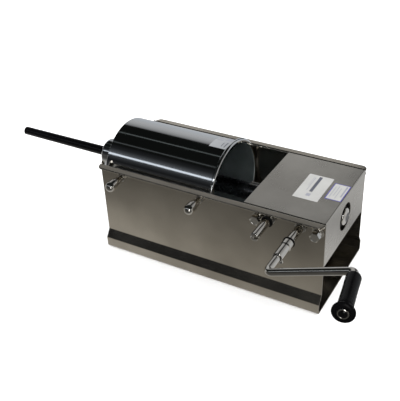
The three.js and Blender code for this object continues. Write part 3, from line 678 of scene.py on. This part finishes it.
def nozzle_parts():
    gasket = box_of("nozzle_gasket")
    outer = gasket.radius
    inner = outer - 4
    profile = ring_profile(gasket.x0, gasket.x1, inner, outer, 0.4, 0.4)
    lathe("gasket_piece", profile, NECK_AXIS, SILICONE, ["nozzle_gasket"], True)
    nozzle = box_of("nozzle")
    nut = box_of("nozzle_nut")
    tip, root, base = 7.0, 7.8, nozzle.radius
    wall = 1.3
    profile = [
        (nozzle.x0, tip - wall, 0.4), (nozzle.x0, tip, 0.4),
        (nut.x0 + 4, root, 20), (nozzle.x1 - 10, base - 5, 2), (nozzle.x1 - 3, base - 5, 0.6),
        (nozzle.x1 - 3, base, 0.5), (nozzle.x1, base, 0.5), (nozzle.x1, base - 7, 0.5),
        (nozzle.x1 - 9, base - 7, 2), (nut.x0 + 6, root - wall, 20),
    ]
    lathe("nozzle_piece", profile, NECK_AXIS, GLOSS_BLACK, ["nozzle"], True)
    radius = nut.radius
    mouth = root + 1.2
    seat = nozzle.x1 - 3 - GAP
    thread_r = 20.15
    profile = [
        (nut.x0, mouth, 0.8), (nut.x0, radius, 6), (nut.x1, radius, 1.2),
        (nut.x1, thread_r, 0.5), (seat, thread_r, 0.3), (seat, 15, 0.3),
        (nozzle.x1 - 10.5, 15, 2), (nut.x0 + 3, mouth, 1),
    ]
    mesh = placed(turned("nozzle_nut", fillet(profile, True, 10), True, FINE), NECK_AXIS)
    piece("nut_piece", mesh, MIRROR, ["nozzle_nut"], smooth=50)


# ---- piston and rack ----
def hexagon(across):
    """The radius of a hexagonal prism at each angle."""
    sixth = math.pi / 3
    return lambda angle: across / 2 / math.cos((angle % sixth) - sixth / 2)


def hex_rings(across, low, high, both=True):
    """Rings of a hexagon with the corners of its end faces turned off."""
    radius = hexagon(across)
    turned_r = across / 2 - 0.1
    slope = math.tan(math.radians(30))

    def drop(angle):
        return max(0, radius(angle) - turned_r) * slope

    rings = [(low, turned_r - 0.2)] if both else []
    if both:
        rings.append(lambda angle: (low + drop(angle), radius(angle)))
    else:
        rings.append(lambda angle: (low, radius(angle)))
    rings.append(lambda angle: (high - drop(angle), radius(angle)))
    rings.append((high, turned_r - 0.2))
    return rings


def piston_parts():
    piston = box_of("piston")
    radius = piston.radius
    seal = box_of("piston_seal")
    groove = seal.x0 - GAP
    groove_end = seal.x1 + GAP
    profile = [
        (piston.x0 + 9, 6.15), (piston.x0 + 9, 14, 1), (piston.x0, 14, 1.5), (piston.x0, radius, 1.8),
        (groove, radius, 0.5), (groove, radius - 5, 0.5), (groove_end, radius - 5, 0.5),
        (groove_end, radius, 0.5), (piston.x1, radius, 1.8), (piston.x1, 52, 3),
        (piston.x1 - 3, 50, 3), (piston.x1 - 3, 24, 3), (piston.x1, 22, 3), (piston.x1, 6.15),
    ]
    lathe("piston_piece", profile, X_AXIS, WHITE, ["piston"], True, FINE)
    outer = seal.radius
    inner = radius - 5 + GAP
    profile = [(seal.x0, inner, 0.5), (seal.x0, outer - 0.5, 0.5), (seal.x0 + 2, outer, 1)]
    profile += [(seal.x0 + 3.7, outer - 0.9, 1), (seal.x1 - 2, outer, 1)]
    profile += [(seal.x1, outer - 0.5, 0.5), (seal.x1, inner, 0.5)]
    lathe("seal_piece", profile, X_AXIS, SILICONE, ["piston_seal"], True, FINE)
    nut = box_of("piston_nut")
    rings = hex_rings(19, nut.x0, nut.x1)
    mesh = turned("piston_nut", [(nut.x0, 6.2), *rings, (nut.x1, 6.2)], True)
    piece("piston_nut_piece", placed(mesh, X_AXIS), MACHINED, ["piston_nut"], smooth=25)


MODULE = 1.5
PITCH = math.pi * MODULE


def gear_outline(teeth, phase):
    """The outline of a spur gear with curved flanks, a tooth centred on the angle `phase`."""
    pitch_r = MODULE * teeth / 2
    step = 2 * math.pi / teeth
    levels = [(-1.25, 0.27), (-0.9, 0.235), (-0.35, 0.205), (0.1, 0.17), (0.55, 0.135), (1.0, 0.095)]
    outline = []
    for i in range(teeth):
        middle = phase + i * step
        flank = [(pitch_r + MODULE * level, width * step) for level, width in levels]
        for radius, width in flank:
            outline.append((radius * math.cos(middle - width), radius * math.sin(middle - width)))
        for radius, width in reversed(flank):
            outline.append((radius * math.cos(middle + width), radius * math.sin(middle + width)))
    return outline


def rack():
    rod = box_of("rack")
    radius = rod.z1 - AXIS.z
    shoulder = box_of("piston").x1 + GAP
    profile = [(rod.x0, 0), (rod.x0, 6, 1)]
    crest = rod.x0 + 1.5
    while crest + 1.75 < rod.x0 + 11:
        profile += [(crest, 6), (crest + 0.85, 5.4), (crest + 1.7, 6)]
        crest += 1.7
    profile += [(shoulder, 6), (shoulder, radius, 0.8), (rod.x1 - 2.2, radius, 2.6)]
    profile += [(rod.x1, radius - 6, 6), (rod.x1, 0)]
    mesh = placed(turned("rack", fillet(profile, steps=6), steps=FINE), X_AXIS)
    drive = box_of("drive_shaft").mid
    pitch_z = drive.z + MODULE * 7
    root = pitch_z + 1.25 * MODULE
    tip = pitch_z - MODULE
    low = AXIS.z - radius - 3
    last = drive.x + 3 * PITCH
    teeth = 45
    first = last - teeth * PITCH
    comb = [(first, low), (first, root)]
    for i in range(teeth):
        x = first + (i + 0.5) * PITCH
        comb += [(x - 0.27 * PITCH, root), (x - 0.1 * PITCH, tip)]
        comb += [(x + 0.1 * PITCH, tip), (x + 0.27 * PITCH, root)]
    comb += [(last, root), (last, low)]
    tool = slab("comb", [comb], 44, 0.01)
    mesh = carved(mesh, placed(tool, Matrix.Translation((0, 22, 0)) @ TO_Y))
    made = piece("rack_piece", mesh, RACK_STEEL, ["rack"], smooth=32)
    recolour(made, POLISHED, lambda middle, normal: middle.x > rod.x1 - 8 and abs(normal.x) < 0.985)


# ---- gears, shafts and their bearings ----
def flat_part(outlines, node, material, edge):
    """A plate across Y in place of a CAD node, from outlines in X and Z."""
    part = box_of(node)
    mesh = slab(node, outlines, part.y1 - part.y0, edge)
    place = Matrix.Translation((0, part.y1, 0)) @ TO_Y
    piece(node + "_piece", placed(mesh, place), material, [node])


def gears():
    drive = box_of("drive_shaft").mid
    fast = box_of("fast_shaft").mid
    slow = box_of("slow_shaft").mid

    def bearing(start, end):
        return math.atan2(end.z - start.z, end.x - start.x)

    wheels = [
        ("rack_pinion", 14, drive, math.pi / 2, 0),
        ("fast_wheel", 46, drive, bearing(drive, fast), 6),
        ("slow_wheel", 56, drive, bearing(drive, slow), 6),
        ("fast_pinion", 15, fast, bearing(fast, drive) + math.pi / 15, 0),
        ("slow_pinion", 12, slow, bearing(slow, drive) + math.pi / 12, 0),
    ]
    for node, teeth, centre, phase, openings in wheels:
        outlines = [gear_outline(teeth, phase), circle(0, 0, BORE_R, 48)]
        ring_r = MODULE * teeth / 2 * 0.6
        for i in range(openings):
            angle = 2 * math.pi * (i + 0.5) / openings
            outlines.append(circle(ring_r * math.cos(angle), ring_r * math.sin(angle), ring_r * 0.28, 36))
        outlines = [[(u + centre.x, v + centre.z) for u, v in outline] for outline in outlines]
        flat_part(outlines, node, MACHINED, 0.25)


def shaft_place(node):
    """A place on a shaft's axis, whose local Z is Y itself."""
    middle = box_of(node).mid
    return aim((middle.x, 0, middle.z), (0, 1, 0))


def on_shaft(node, profile, material, closed=False, steps=ROUND):
    lathe(node + "_piece", profile, shaft_place(node), material, [node], closed, steps)


def shafts():
    thin = 5.3
    step_y = -83.5  # the slow shaft is stouter outside this
    drive = box_of("drive_shaft")
    profile = [(drive.y0, 0), (drive.y0, thin, 1), (drive.y1, thin, 1), (drive.y1, 0)]
    on_shaft("drive_shaft", profile, MACHINED)
    slow = box_of("slow_shaft")
    stout = slow.radius
    collar = box_of("slow_ring").y1 + GAP
    profile = [
        (slow.y0, 0), (slow.y0, thin, 1), (collar, thin), (collar, stout, 0.5),
        (step_y, stout, 0.5), (step_y, thin), (slow.y1, thin, 1), (slow.y1, 0),
    ]
    on_shaft("slow_shaft", profile, POLISHED)
    stub = box_of("fast_shaft")
    shoulder = box_of("fast_ring").y0 - GAP
    profile = [
        (stub.y0 + 1.6, 0), (stub.y0, 2.2, 0.2), (stub.y0, stout, 1.1),
        (shoulder, stout, 0.4), (shoulder, thin), (stub.y1, thin, 0.8), (stub.y1, 0),
    ]
    mesh = placed(turned("fast_shaft", fillet(profile)), shaft_place("fast_shaft"))
    slot_shape = slab("slot", [rectangle(-11, -1.5, 11, 1.5)], 9, 0.05)
    place = Matrix.Translation((stub.mid.x, stub.y0 + 7, stub.mid.z)) @ TO_Y
    mesh = carved(mesh, placed(slot_shape, place))
    piece("fast_shaft_piece", mesh, POLISHED, ["fast_shaft"], smooth=35)
    for node in ("fast_ring", "slow_ring"):
        ring = box_of(node)
        profile = ring_profile(ring.y0, ring.y1, BORE_R, ring.radius, 0.3, 1)
        on_shaft(node, profile, RUBBER, True)


def bushes():
    for node, way, material in (
        ("fast_bush_near", 1, MACHINED), ("slow_bush_near", 1, MACHINED), ("drive_bush_near", -1, BRONZE),
        ("drive_bush_far", 1, BRONZE), ("slow_bush_far", 1, BRONZE), ("fast_bush_inner", 1, BRONZE),
    ):
        bush = box_of(node)
        outer = bush.radius
        start, end = (bush.y0, bush.y1) if way > 0 else (bush.y1, bush.y0)
        under = start + 1.5 * way
        profile = [
            (start, BORE_R, 0.4), (start, outer, 0.4), (under, outer, 0.3), (under, outer - 1.4, 0.2),
            (end, outer - 1.4, 0.4), (end, BORE_R, 0.4),
        ]
        on_shaft(node, profile, material, True, 48)


def housing():
    bolts = [box_of(f"bolt_near_{number}").mid for number in (1, 2)]
    shaft_middles = {name: box_of(name + "_shaft").mid for name in ("fast", "slow", "drive")}
    wanted = {
        "gear_plate_near": (bolts, ("fast", "slow", "drive"), ()),
        "gear_plate_far": (bolts, ("slow", "drive"), ()),
        "bearing_bracket": ([], ("fast",), ("slow", "drive")),
    }
    for node, (bolt_middles, bushed, clear) in wanted.items():
        plate = box_of(node)
        outlines = [fillet(rectangle(plate.x0, plate.z0, plate.x1, plate.z1, 3), True)]
        outlines += [circle(middle.x, middle.z, BOLT_BORE_R, 40) for middle in bolt_middles]
        for names, radius in ((bushed, 7.15), (clear, 6.3)):
            for name in names:
                outlines.append(circle(shaft_middles[name].x, shaft_middles[name].z, radius, 48))
        flat_part(outlines, node, CAST, 0.5)
    for node in ("standoff_a", "standoff_b"):
        post = box_of(node)
        profile = [(post.y0, 0), (post.y0, 4, 0.5), (post.y0 + 6, 4), (post.y0 + 6.6, 3.4)]
        profile += [(post.y0 + 8, 3.4), (post.y0 + 8.6, 4), (post.y1, 4, 0.5), (post.y1, 0)]
        on_shaft(node, profile, MACHINED)


def rack_guides():
    bore = 13.15
    for node in ("rack_guide_front", "rack_guide_rear"):
        bar = box_of(node)
        back = bar.x1 - 10
        corners = rectangle(bar.y0, bar.z0, bar.y1, bar.z1, 2)
        outlines = [fillet(corners, True), circle(0, AXIS.z, bore, FINE)]
        parts = [placed(slab(node, outlines, 10, 0.5), Matrix.Translation((back, 0, 0)) @ TO_X)]
        if node == "rack_guide_front":
            low = AXIS.z + 13.5
            for y in (-3, 3):
                corners = [(bar.x0, low, 0.8), (back + 4, low)]
                corners += [(back + 4, low + 2.5), (bar.x0, low + 2.5, 1.2)]
                place = Matrix.Translation((0, y + 0.8, 0)) @ TO_Y
                parts.append(placed(slab(node, [fillet(corners, True)], 1.6, 0.3), place))
        mesh = joined(node, parts)
        piece(node + "_piece", mesh, MACHINED, [node])


# ---- crank ----
def crank():
    hub = box_of("crank_hub")
    collar_r = 7.8
    radius = 7.0
    profile = [
        (hub.y1, BORE_R, 0.3), (hub.y1, collar_r, 0.9), (hub.y1 - 10, collar_r, 0.6),
        (hub.y1 - 11.5, radius, 0.6), (hub.y0, radius, 0.9), (hub.y0, BORE_R, 0.3),
    ]
    screw_at, screw_way = joint_place("screw_turn")
    bore = placed(turned("bore", [(4, 2.4), (12, 2.4)], steps=40), aim(screw_at, screw_way))
    mesh = placed(turned("crank_hub", fillet(profile, True), True), shaft_place("crank_hub"))
    mesh = carved(mesh, bore)
    piece("hub_piece", mesh, POLISHED, ["crank_hub"], smooth=35)

    seat = radius + GAP
    profile = [(5.3, 0), (5.3, 1.7, 0.2)]
    profile += [(5.8, 2.1), (6.15, 1.85), (6.5, 2.1), (6.85, 1.85), (seat, 2.1)]
    profile += [(seat, 3, 0.4), (seat + 4, 3, 1.2), (seat + 4, 0)]
    screw = placed(turned("crank_screw", fillet(profile), steps=48), aim(screw_at, screw_way))
    groove_place = aim(screw_at + screw_way * (seat + 2.9), screw_way)
    groove = slab("groove", [rectangle(-4, -0.5, 4, 0.5)], 3, 0.02)
    screw = carved(screw, placed(groove, groove_place))
    piece("screw_piece", screw, POLISHED, ["crank_screw"], smooth=35)

    outward = Vector((0, -1, 0))
    along = Vector((-screw_way.z, 0, screw_way.x))
    grip_at, grip_way = joint_place("grip_spin")
    shaft = box_of("slow_shaft").mid
    rod_r = 5.0
    corner_b = grip_at - grip_way * 12
    corner_a = Vector((shaft.x, corner_b.y, shaft.z))
    start = Vector((shaft.x, box_of("slow_shaft").y0 - 1, shaft.z))
    end = grip_at + grip_way * 66
    stations = [start]
    stations += bend(corner_a, outward, along, 9)
    stations += bend(corner_b, along, grip_way, 9)
    stations += [end]
    mesh = swept("crank_rod", stations, rod_r, 40)
    piece("rod_piece", mesh, POLISHED, ["crank_rod"], edge=0.5, smooth=30)


def bend(corner, before, after, radius, steps=14):
    """Points round a bend from one direction to the next."""
    turn = before.angle(after)
    side = (after - before * after.dot(before)).normalized()
    start = corner - before * radius * math.tan(turn / 2)
    points = []
    for step in range(steps + 1):
        angle = turn * step / steps
        points.append(start + before * radius * math.sin(angle) + side * radius * (1 - math.cos(angle)))
    return points


def grip():
    at, way = joint_place("grip_spin")
    place = aim(at, way)
    length = 70.0
    radius = 9.2
    flange = 13.4
    rings = [(0, 5.15), (0, radius - 1.2), (0.5, radius - 0.5), (1.4, radius - 0.1), (2.6, radius)]
    rings += [(4.5 + 51.5 * i / 10, radius - 0.25 * math.sin(math.pi * i / 10)) for i in range(11)]
    rings += [(57.5, radius - 0.3), (59, radius - 0.6), (60.5, radius - 0.55), (62, radius - 0.1)]
    rings += [(63.6, radius + 1.2), (64.8, flange - 0.9), (65.6, flange - 0.25), (66.4, flange)]
    rings += [(67.6, flange), (68.6, flange - 0.35), (69.3, flange - 1.1), (69.7, flange - 2.2)]
    rings += [(70, flange - 3.6), (70, 7.6), (69.8, 7.15), (69.2, 7), (length - 3, 7), (length - 3, 5.15)]
    mesh = placed(turned("grip", rings, True, 120), place)
    piece("grip_piece", mesh, BLACK, ["grip"], smooth=50)
    seat = length - 3 + GAP
    profile = [(seat, 0), (seat, 6.6, 0.3), (length + 0.6, 6.6, 0.7), (length + 1.1, 5.4, 0.6)]
    profile += [(length + 0.7, 4.6, 0.4), (length + 1.2, 3.4, 1), (length + 2, 0)]
    cap = lathe("cap_piece", profile, place, GLOSS_BLACK, ["grip_cap"])

    def is_rim(middle, _):
        offset = middle - at
        along = offset.dot(way)
        return along > length - 0.2 and (offset - way * along).length > 5

    recolour(cap, POLISHED, is_rim)


# ---- bolts on both walls, plungers on the near one and pins on the far one ----
def wall_fittings():
    for number in (1, 2):
        bolt_set("near", -1, number)
        bolt_set("far", 1, number)
        plunger_set(number)
        pin_set(number)


def on_wall(node, way):
    """A place on a wall's outer face, whose local Z points outwards."""
    middle = box_of(node).mid
    return aim((middle.x, way * WALL_Y, middle.z), (0, way, 0))


def bolt_set(side, way, number):
    node = f"bolt_{side}_{number}"
    place = on_wall(node, way)
    head = 8.9
    rings = [(-6.4, 0), (-6.4, 3.4), (-5.8, 4), (head, 4)]
    rings += hex_rings(13, head, head + 6, both=False)
    rings += [(head + 6, 5.4), (head + 5.6, 5.0), (head + 5.6, 0)]
    mesh = placed(turned(node, rings, steps=FINE), place)
    piece(node + "_piece", mesh, POLISHED, [node], smooth=22)
    node = f"washers_{side}_{number}"
    parts = []
    stack = [(GAP, 1.95, 8.5), (2.0, 3.7, 6.4), (3.75, 5.1, 6.6), (5.15, 8.55, 6.6)]
    for low, high, outer in stack:
        profile = ring_profile(low, high, BOLT_BORE_R, outer, 0.2, 0.45)
        parts.append(turned(node, fillet(profile, True, 3), True, 64))
    mesh = placed(joined(node, parts), place)
    piece(node + "_piece", mesh, POLISHED, [node])


def plunger_set(number):
    node = f"plunger_{number}"
    place = on_wall(node, -1)
    low = HOLDER_TIP_Y - WALL_Y
    dome_r = 8.0
    dome_at = 31.0
    profile = [
        (low, 0), (low, 2.2, 0.6), (low + 1, 2.6, 0.6), (5, 2.6), (5, 4.2, 0.4), (11, 4.2, 0.5),
        (11.8, 6, 0.4), (16, 6, 0.6), (16.8, 7, 0.4), (22, 7, 0.5), (23, dome_r, 0.4),
    ]
    rings = fillet(profile, steps=3)
    for step in range(13):
        angle = math.pi / 2 * step / 12
        rings.append((dome_at + dome_r * math.sin(angle), dome_r * math.cos(angle) if step < 12 else 0))
    mesh = placed(turned(node, rings, steps=64), place)
    piece(node + "_piece", mesh, POLISHED, [node])
    node = f"plunger_barrel_{number}"
    rings = [(-6, 2.9), (-6, 3.7), (-5.6, 4)]
    crest = -5.6
    while crest + 1 < GAP - 0.2:
        rings += [(crest + 0.5, 3.7), (crest + 1, 4)]
        crest += 1
    rings += [(GAP, 4), *hex_rings(HOLDER_HEX, GAP, GAP + 4, both=False), (GAP + 4, 2.9)]
    mesh = placed(turned(node, rings, True, FINE), place)
    piece(node + "_piece", mesh, MACHINED, [node], smooth=22)


def pin_set(number):
    node = f"locating_pin_{number}"
    place = on_wall(node, 1)
    low = HOLDER_TIP_Y - WALL_Y
    rings = [(low, 0), (low, 2.0), (low + 0.6, 2.6), (low + 2, 2.6), (low + 2, 3.6), (low + 2.4, 4)]
    rings += [(GAP, 4), *hex_rings(HOLDER_HEX, GAP, GAP + 5, both=False), (GAP + 5, 0)]
    mesh = placed(turned(node, rings, steps=FINE), place)
    piece(node + "_piece", mesh, MACHINED, [node], smooth=22)
    node = f"pin_nut_{number}"
    high = -SHEET - GAP
    low = high - 3.5
    rings = [(low, BOLT_BORE_R), *hex_rings(HOLDER_HEX, low, high), (high, BOLT_BORE_R)]
    mesh = placed(turned(node, rings, True, FINE), place)
    piece(node + "_piece", mesh, MACHINED, [node], smooth=22)


# ---- labels ----
PAPER_THICK = 0.12
INK_THICK = 0.05


def label(name, x0, x1, y0, y1, low, material, thickness=PAPER_THICK, radius=1.2):
    """A thin label on the cover, from the height `low` up."""
    mesh = slab(name, [fillet(rectangle(x0, y0, x1, y1, radius), True)], thickness, thickness / 4, 1)
    mesh = placed(mesh, Matrix.Translation((0, 0, low)))
    piece(name, mesh, material, [], slot="brushed_sheet")


def printed(name, x0, x1, y0, y1, low, material):
    label(name, x0, x1, y0, y1, low, material, INK_THICK, 0.15)


def cover_labels():
    top = box_of("gear_cover").z1
    ink = top + PAPER_THICK
    label("label_large", 114.8, 152.4, -33, 33, top, PAPER)
    printed("label_bar_wide", 131.5, 136.2, -12, 30, ink, INK_GREY)
    printed("label_bar_thin", 126.6, 127.4, -10, 26, ink, INK_PALE)
    printed("label_bar_low", 124.4, 124.9, 2, 26, ink, INK_PALE)
    printed("label_block", 130.6, 136.8, -24, -17, ink, INK_PALE)
    x0, x1, y0, y1 = 157, 181.4, -19, 24.4
    rim = 1.5
    label("label_small", x0, x1, y0, y1, top, INK_BLUE)
    printed("label_small_field", x0 + rim, x1 - rim, y0 + rim, y1 - rim, ink, PAPER)
    ink += INK_THICK
    printed("label_small_head", 175.6, 178, -8, 21, ink, INK_PALE)
    for row, (low, high) in enumerate(((-12, 16), (-8, 19), (-14, 14))):
        x = 161.5 + row * 4.2
        printed(f"label_small_row_{row}", x, x + 0.9, low, high, ink, INK_PALE)


def cylinder_label():
    """A curved label on the top of the cylinder, beside its mouth."""
    tube = box_of("cylinder")
    end = box_of("cylinder_end")
    patches = [
        ("label_round", tube.x1 - 36, tube.x1 - 9, -9, 30, 0.02, SILVER_PAPER),
        ("label_round_block", tube.x1 - 22, tube.x1 - 12, 12, 24, 0.14, INK_PALE),
        ("label_round_row_1", tube.x1 - 33.5, tube.x1 - 24, 15, 18, 0.14, INK_PALE),
        ("label_round_row_2", tube.x1 - 33.5, tube.x1 - 24, 9, 12, 0.14, INK_PALE),
        ("label_round_row_3", tube.x1 - 14, tube.x1 - 12, -6, 6, 0.14, INK_GREY),
        ("label_round_row_4", tube.x1 - 19, tube.x1 - 17.6, -5, 4, 0.14, INK_GREY),
    ]
    for name, x0, x1, first, last, lift, material in patches:
        rows = []
        for level in (end.radius + lift, end.radius + lift + 0.1):
            row = []
            for step in range(25):
                angle = math.radians(first + (last - first) * step / 24)
                row.append((level * math.sin(angle), AXIS.z + level * math.cos(angle)))
            rows.append(row)
        outline = rows[0] + rows[1][::-1]
        points = [(x, y, z) for x in (x0, x1) for y, z in outline]
        size = (2, len(outline))
        mesh = mesh_of(name, points, quads(*size) + flat_ends(*size))
        piece(name, mesh, material, [], slot="polished_steel")


body_shell()
front_plate()
saddle("cradle_front")
saddle("cradle_rear")
gear_cover()
cylinder()
nozzle_parts()
piston_parts()
rack()
gears()
shafts()
bushes()
housing()
rack_guides()
crank()
grip()
wall_fittings()
cover_labels()
cylinder_label()


# ---- studio ----
def camera():
    made = linked("camera", bpy.data.cameras.new("camera"))
    right = Vector((0.86763, 0.49547, -0.04164))
    forward = Vector((-0.43357, 0.71290, -0.55118))
    matrix = Matrix((right, right.cross(forward), -forward)).transposed().to_4x4()
    matrix.translation = Vector((0.4535, -0.8383, 0.7214))
    made.matrix_world = matrix
    made.data.sensor_fit = "HORIZONTAL"
    made.data.sensor_width = 36
    made.data.lens = 66.47
    made.data.clip_start = 0.01
    made.data.clip_end = 50
    scene.camera = made


def floor():
    mesh = bpy.data.meshes.new("floor")
    reach = 12
    mesh.from_pydata([(x, y, 0) for x, y in rectangle(-reach, -reach, reach, reach)], [], [(0, 1, 2, 3)])
    made = linked("floor", mesh)
    made.location.z = -0.0012
    mesh.materials.append(moulded("pale_floor", (0.93, 0.93, 0.93), (0.91, 0.91, 0.91), (0.8, 0.9)))


def card(name, corners, axis, stops, strength=1.0):
    """A glowing sheet that only polished surfaces see, its glow graded along one axis."""
    mesh = bpy.data.meshes.new(name)
    mesh.from_pydata(corners, [], [(0, 1, 2, 3)])
    made = linked(name, mesh)
    for seen in ("camera", "diffuse", "transmission", "volume_scatter", "shadow"):
        setattr(made, "visible_" + seen, False)
    nodes = Nodes(name)
    split = nodes.add("ShaderNodeSeparateXYZ")
    nodes.join(nodes.place, split.inputs["Vector"])
    low, high = stops[0][0], stops[-1][0]
    along = nodes.add("ShaderNodeMapRange", From_Min=low, From_Max=high)
    nodes.join(split.outputs[axis], along.inputs["Value"])
    ramp = nodes.add("ShaderNodeValToRGB")
    elements = ramp.color_ramp.elements
    elements.remove(elements[1])
    for i, (place, colour) in enumerate(stops):
        element = elements[0] if i == 0 else elements.new((place - low) / (high - low))
        element.position = (place - low) / (high - low)
        element.color = (*colour, 1)
    nodes.join(along.outputs["Result"], ramp.inputs["Fac"])
    glow = nodes.add("ShaderNodeEmission", Strength=strength)
    nodes.join(ramp.outputs["Color"], glow.inputs["Color"])
    output = nodes.tree.nodes["Material Output"]
    nodes.join(glow.outputs["Emission"], output.inputs["Surface"])
    nodes.tree.nodes.remove(nodes.shader)
    mesh.materials.append(nodes.material)


def tone(value, tint=(1, 1, 1)):
    return tuple(value * part for part in tint)


def upright_card(name, x0, x1, y, z0, z1, axis, stops, strength=1.0):
    corners = [(x0, y, z0), (x1, y, z0), (x1, y, z1), (x0, y, z1)]
    card(name, corners, axis, stops, strength)


def facing_cylinder(turn, distance, half_width):
    """Corners of a long sheet parallel to X, `turn` degrees about the cylinder's axis from +Y upward."""
    angle = math.radians(turn)
    middle = Vector((0, math.cos(angle), math.sin(angle))) * distance
    middle.z += AXIS.z * MM
    across = Vector((0, -math.sin(angle), math.cos(angle))) * half_width
    along = Vector((4, 0, 0))
    lower, upper = middle - across, middle + across
    return [lower - along, upper - along, upper + along, lower + along]


def strip(name, turn, width, colour):
    """A long glowing strip, reflected as a line along the cylinder."""
    card(name, facing_cylinder(turn, 1.5, width / 2), "X", [(-4, colour), (4, colour)])


def studio():
    warm = (1.03, 1.0, 0.93)
    cool = (0.95, 1.0, 1.06)
    upright_card(
        "back_card", -5, 4, 2.2, 0, 2.62, "Z",
        [
            (0, tone(0.5, cool)), (1.1, tone(0.47)), (1.6, tone(0.41)), (1.95, tone(0.32)),
            (2.25, tone(0.27)), (2.44, tone(0.14)), (2.62, tone(0.06)),
        ],
    )
    upright_card("dark_card", -0.42, 0.5, 2.15, 0, 2.7, "X", [(-0.42, tone(0.03)), (0.5, tone(0.015))])
    upright_card(
        "front_card", -5, 5, -2.4, 0, 1.2, "Z",
        [(0, tone(0.09, warm)), (0.5, tone(0.04)), (1.2, tone(0.014, cool))],
    )
    card(
        "right_card", [(2.6, -1.2, 0), (2.6, 2.2, 0), (2.6, 2.2, 1.6), (2.6, -1.2, 1.6)],
        "Z", [(0, tone(0.45, warm)), (1.6, tone(0.25, warm))],
    )
    level = -0.0006  # between the floor and the body's underside
    card(
        "floor_card", [(x, y, level) for x, y in rectangle(-5, -5, 5, 5)], "Y",
        [
            (-1.2, tone(0.05, warm)), (-0.32, tone(0.075, warm)), (-0.25, tone(0.14, warm)),
            (-0.195, tone(0.20, warm)), (-0.13, tone(0.37, warm)), (0.05, tone(0.58)),
            (0.14, tone(0.36)), (0.24, tone(0.50)), (1.2, tone(0.5, cool)),
        ],
    )
    strip("strip_low", 78.7, 0.075, tone(0.11, (0.92, 1.04, 1.0)))
    strip("strip_mid", 109.7, 0.08, tone(0.065, (0.94, 1.03, 1.02)))
    strip("strip_bright", 141.2, 0.12, tone(1.0, (0.94, 1.0, 1.07)))
    card(
        "soft_glow", facing_cylinder(137.5, 1.55, 0.6), "Y",
        [
            (-1.54, tone(0.008, cool)), (-1.375, tone(0.028, cool)), (-1.30, tone(0.06, cool)),
            (-1.15, tone(0.13, cool)), (-1.073, tone(0.07, cool)), (-0.93, tone(0.018, cool)),
            (-0.75, tone(0.008, cool)),
        ],
    )
    upright_card("flash", 0.41, 0.50, -0.86, 0.77, 0.86, "X", [(0.41, tone(1)), (0.50, tone(1))], 24.0)
    upright_card(
        "flash_tail", 0.42, 0.62, -1.0, 0.05, 0.62, "Z",
        [(0.05, tone(0.8, warm)), (0.62, tone(1))], 4.5,
    )

    sky = bpy.data.worlds.new("studio")
    sky.use_nodes = True
    scene.world = sky
    tree = sky.node_tree
    bright = tree.nodes["Background"]
    bright.inputs["Color"].default_value = (1, 1, 1, 1)
    bright.inputs["Strength"].default_value = 2.0
    dark = tree.nodes.new("ShaderNodeBackground")
    dark.inputs["Color"].default_value = (0.9, 1.0, 0.92, 1)
    dark.inputs["Strength"].default_value = 0.006
    path = tree.nodes.new("ShaderNodeLightPath")
    mix = tree.nodes.new("ShaderNodeMixShader")
    tree.links.new(path.outputs["Is Glossy Ray"], mix.inputs["Fac"])
    tree.links.new(bright.outputs["Background"], mix.inputs[1])
    tree.links.new(dark.outputs["Background"], mix.inputs[2])
    tree.links.new(mix.outputs["Shader"], tree.nodes["World Output"].inputs["Surface"])
    scene.view_settings.view_transform = "Standard"


camera()
floor()
studio()
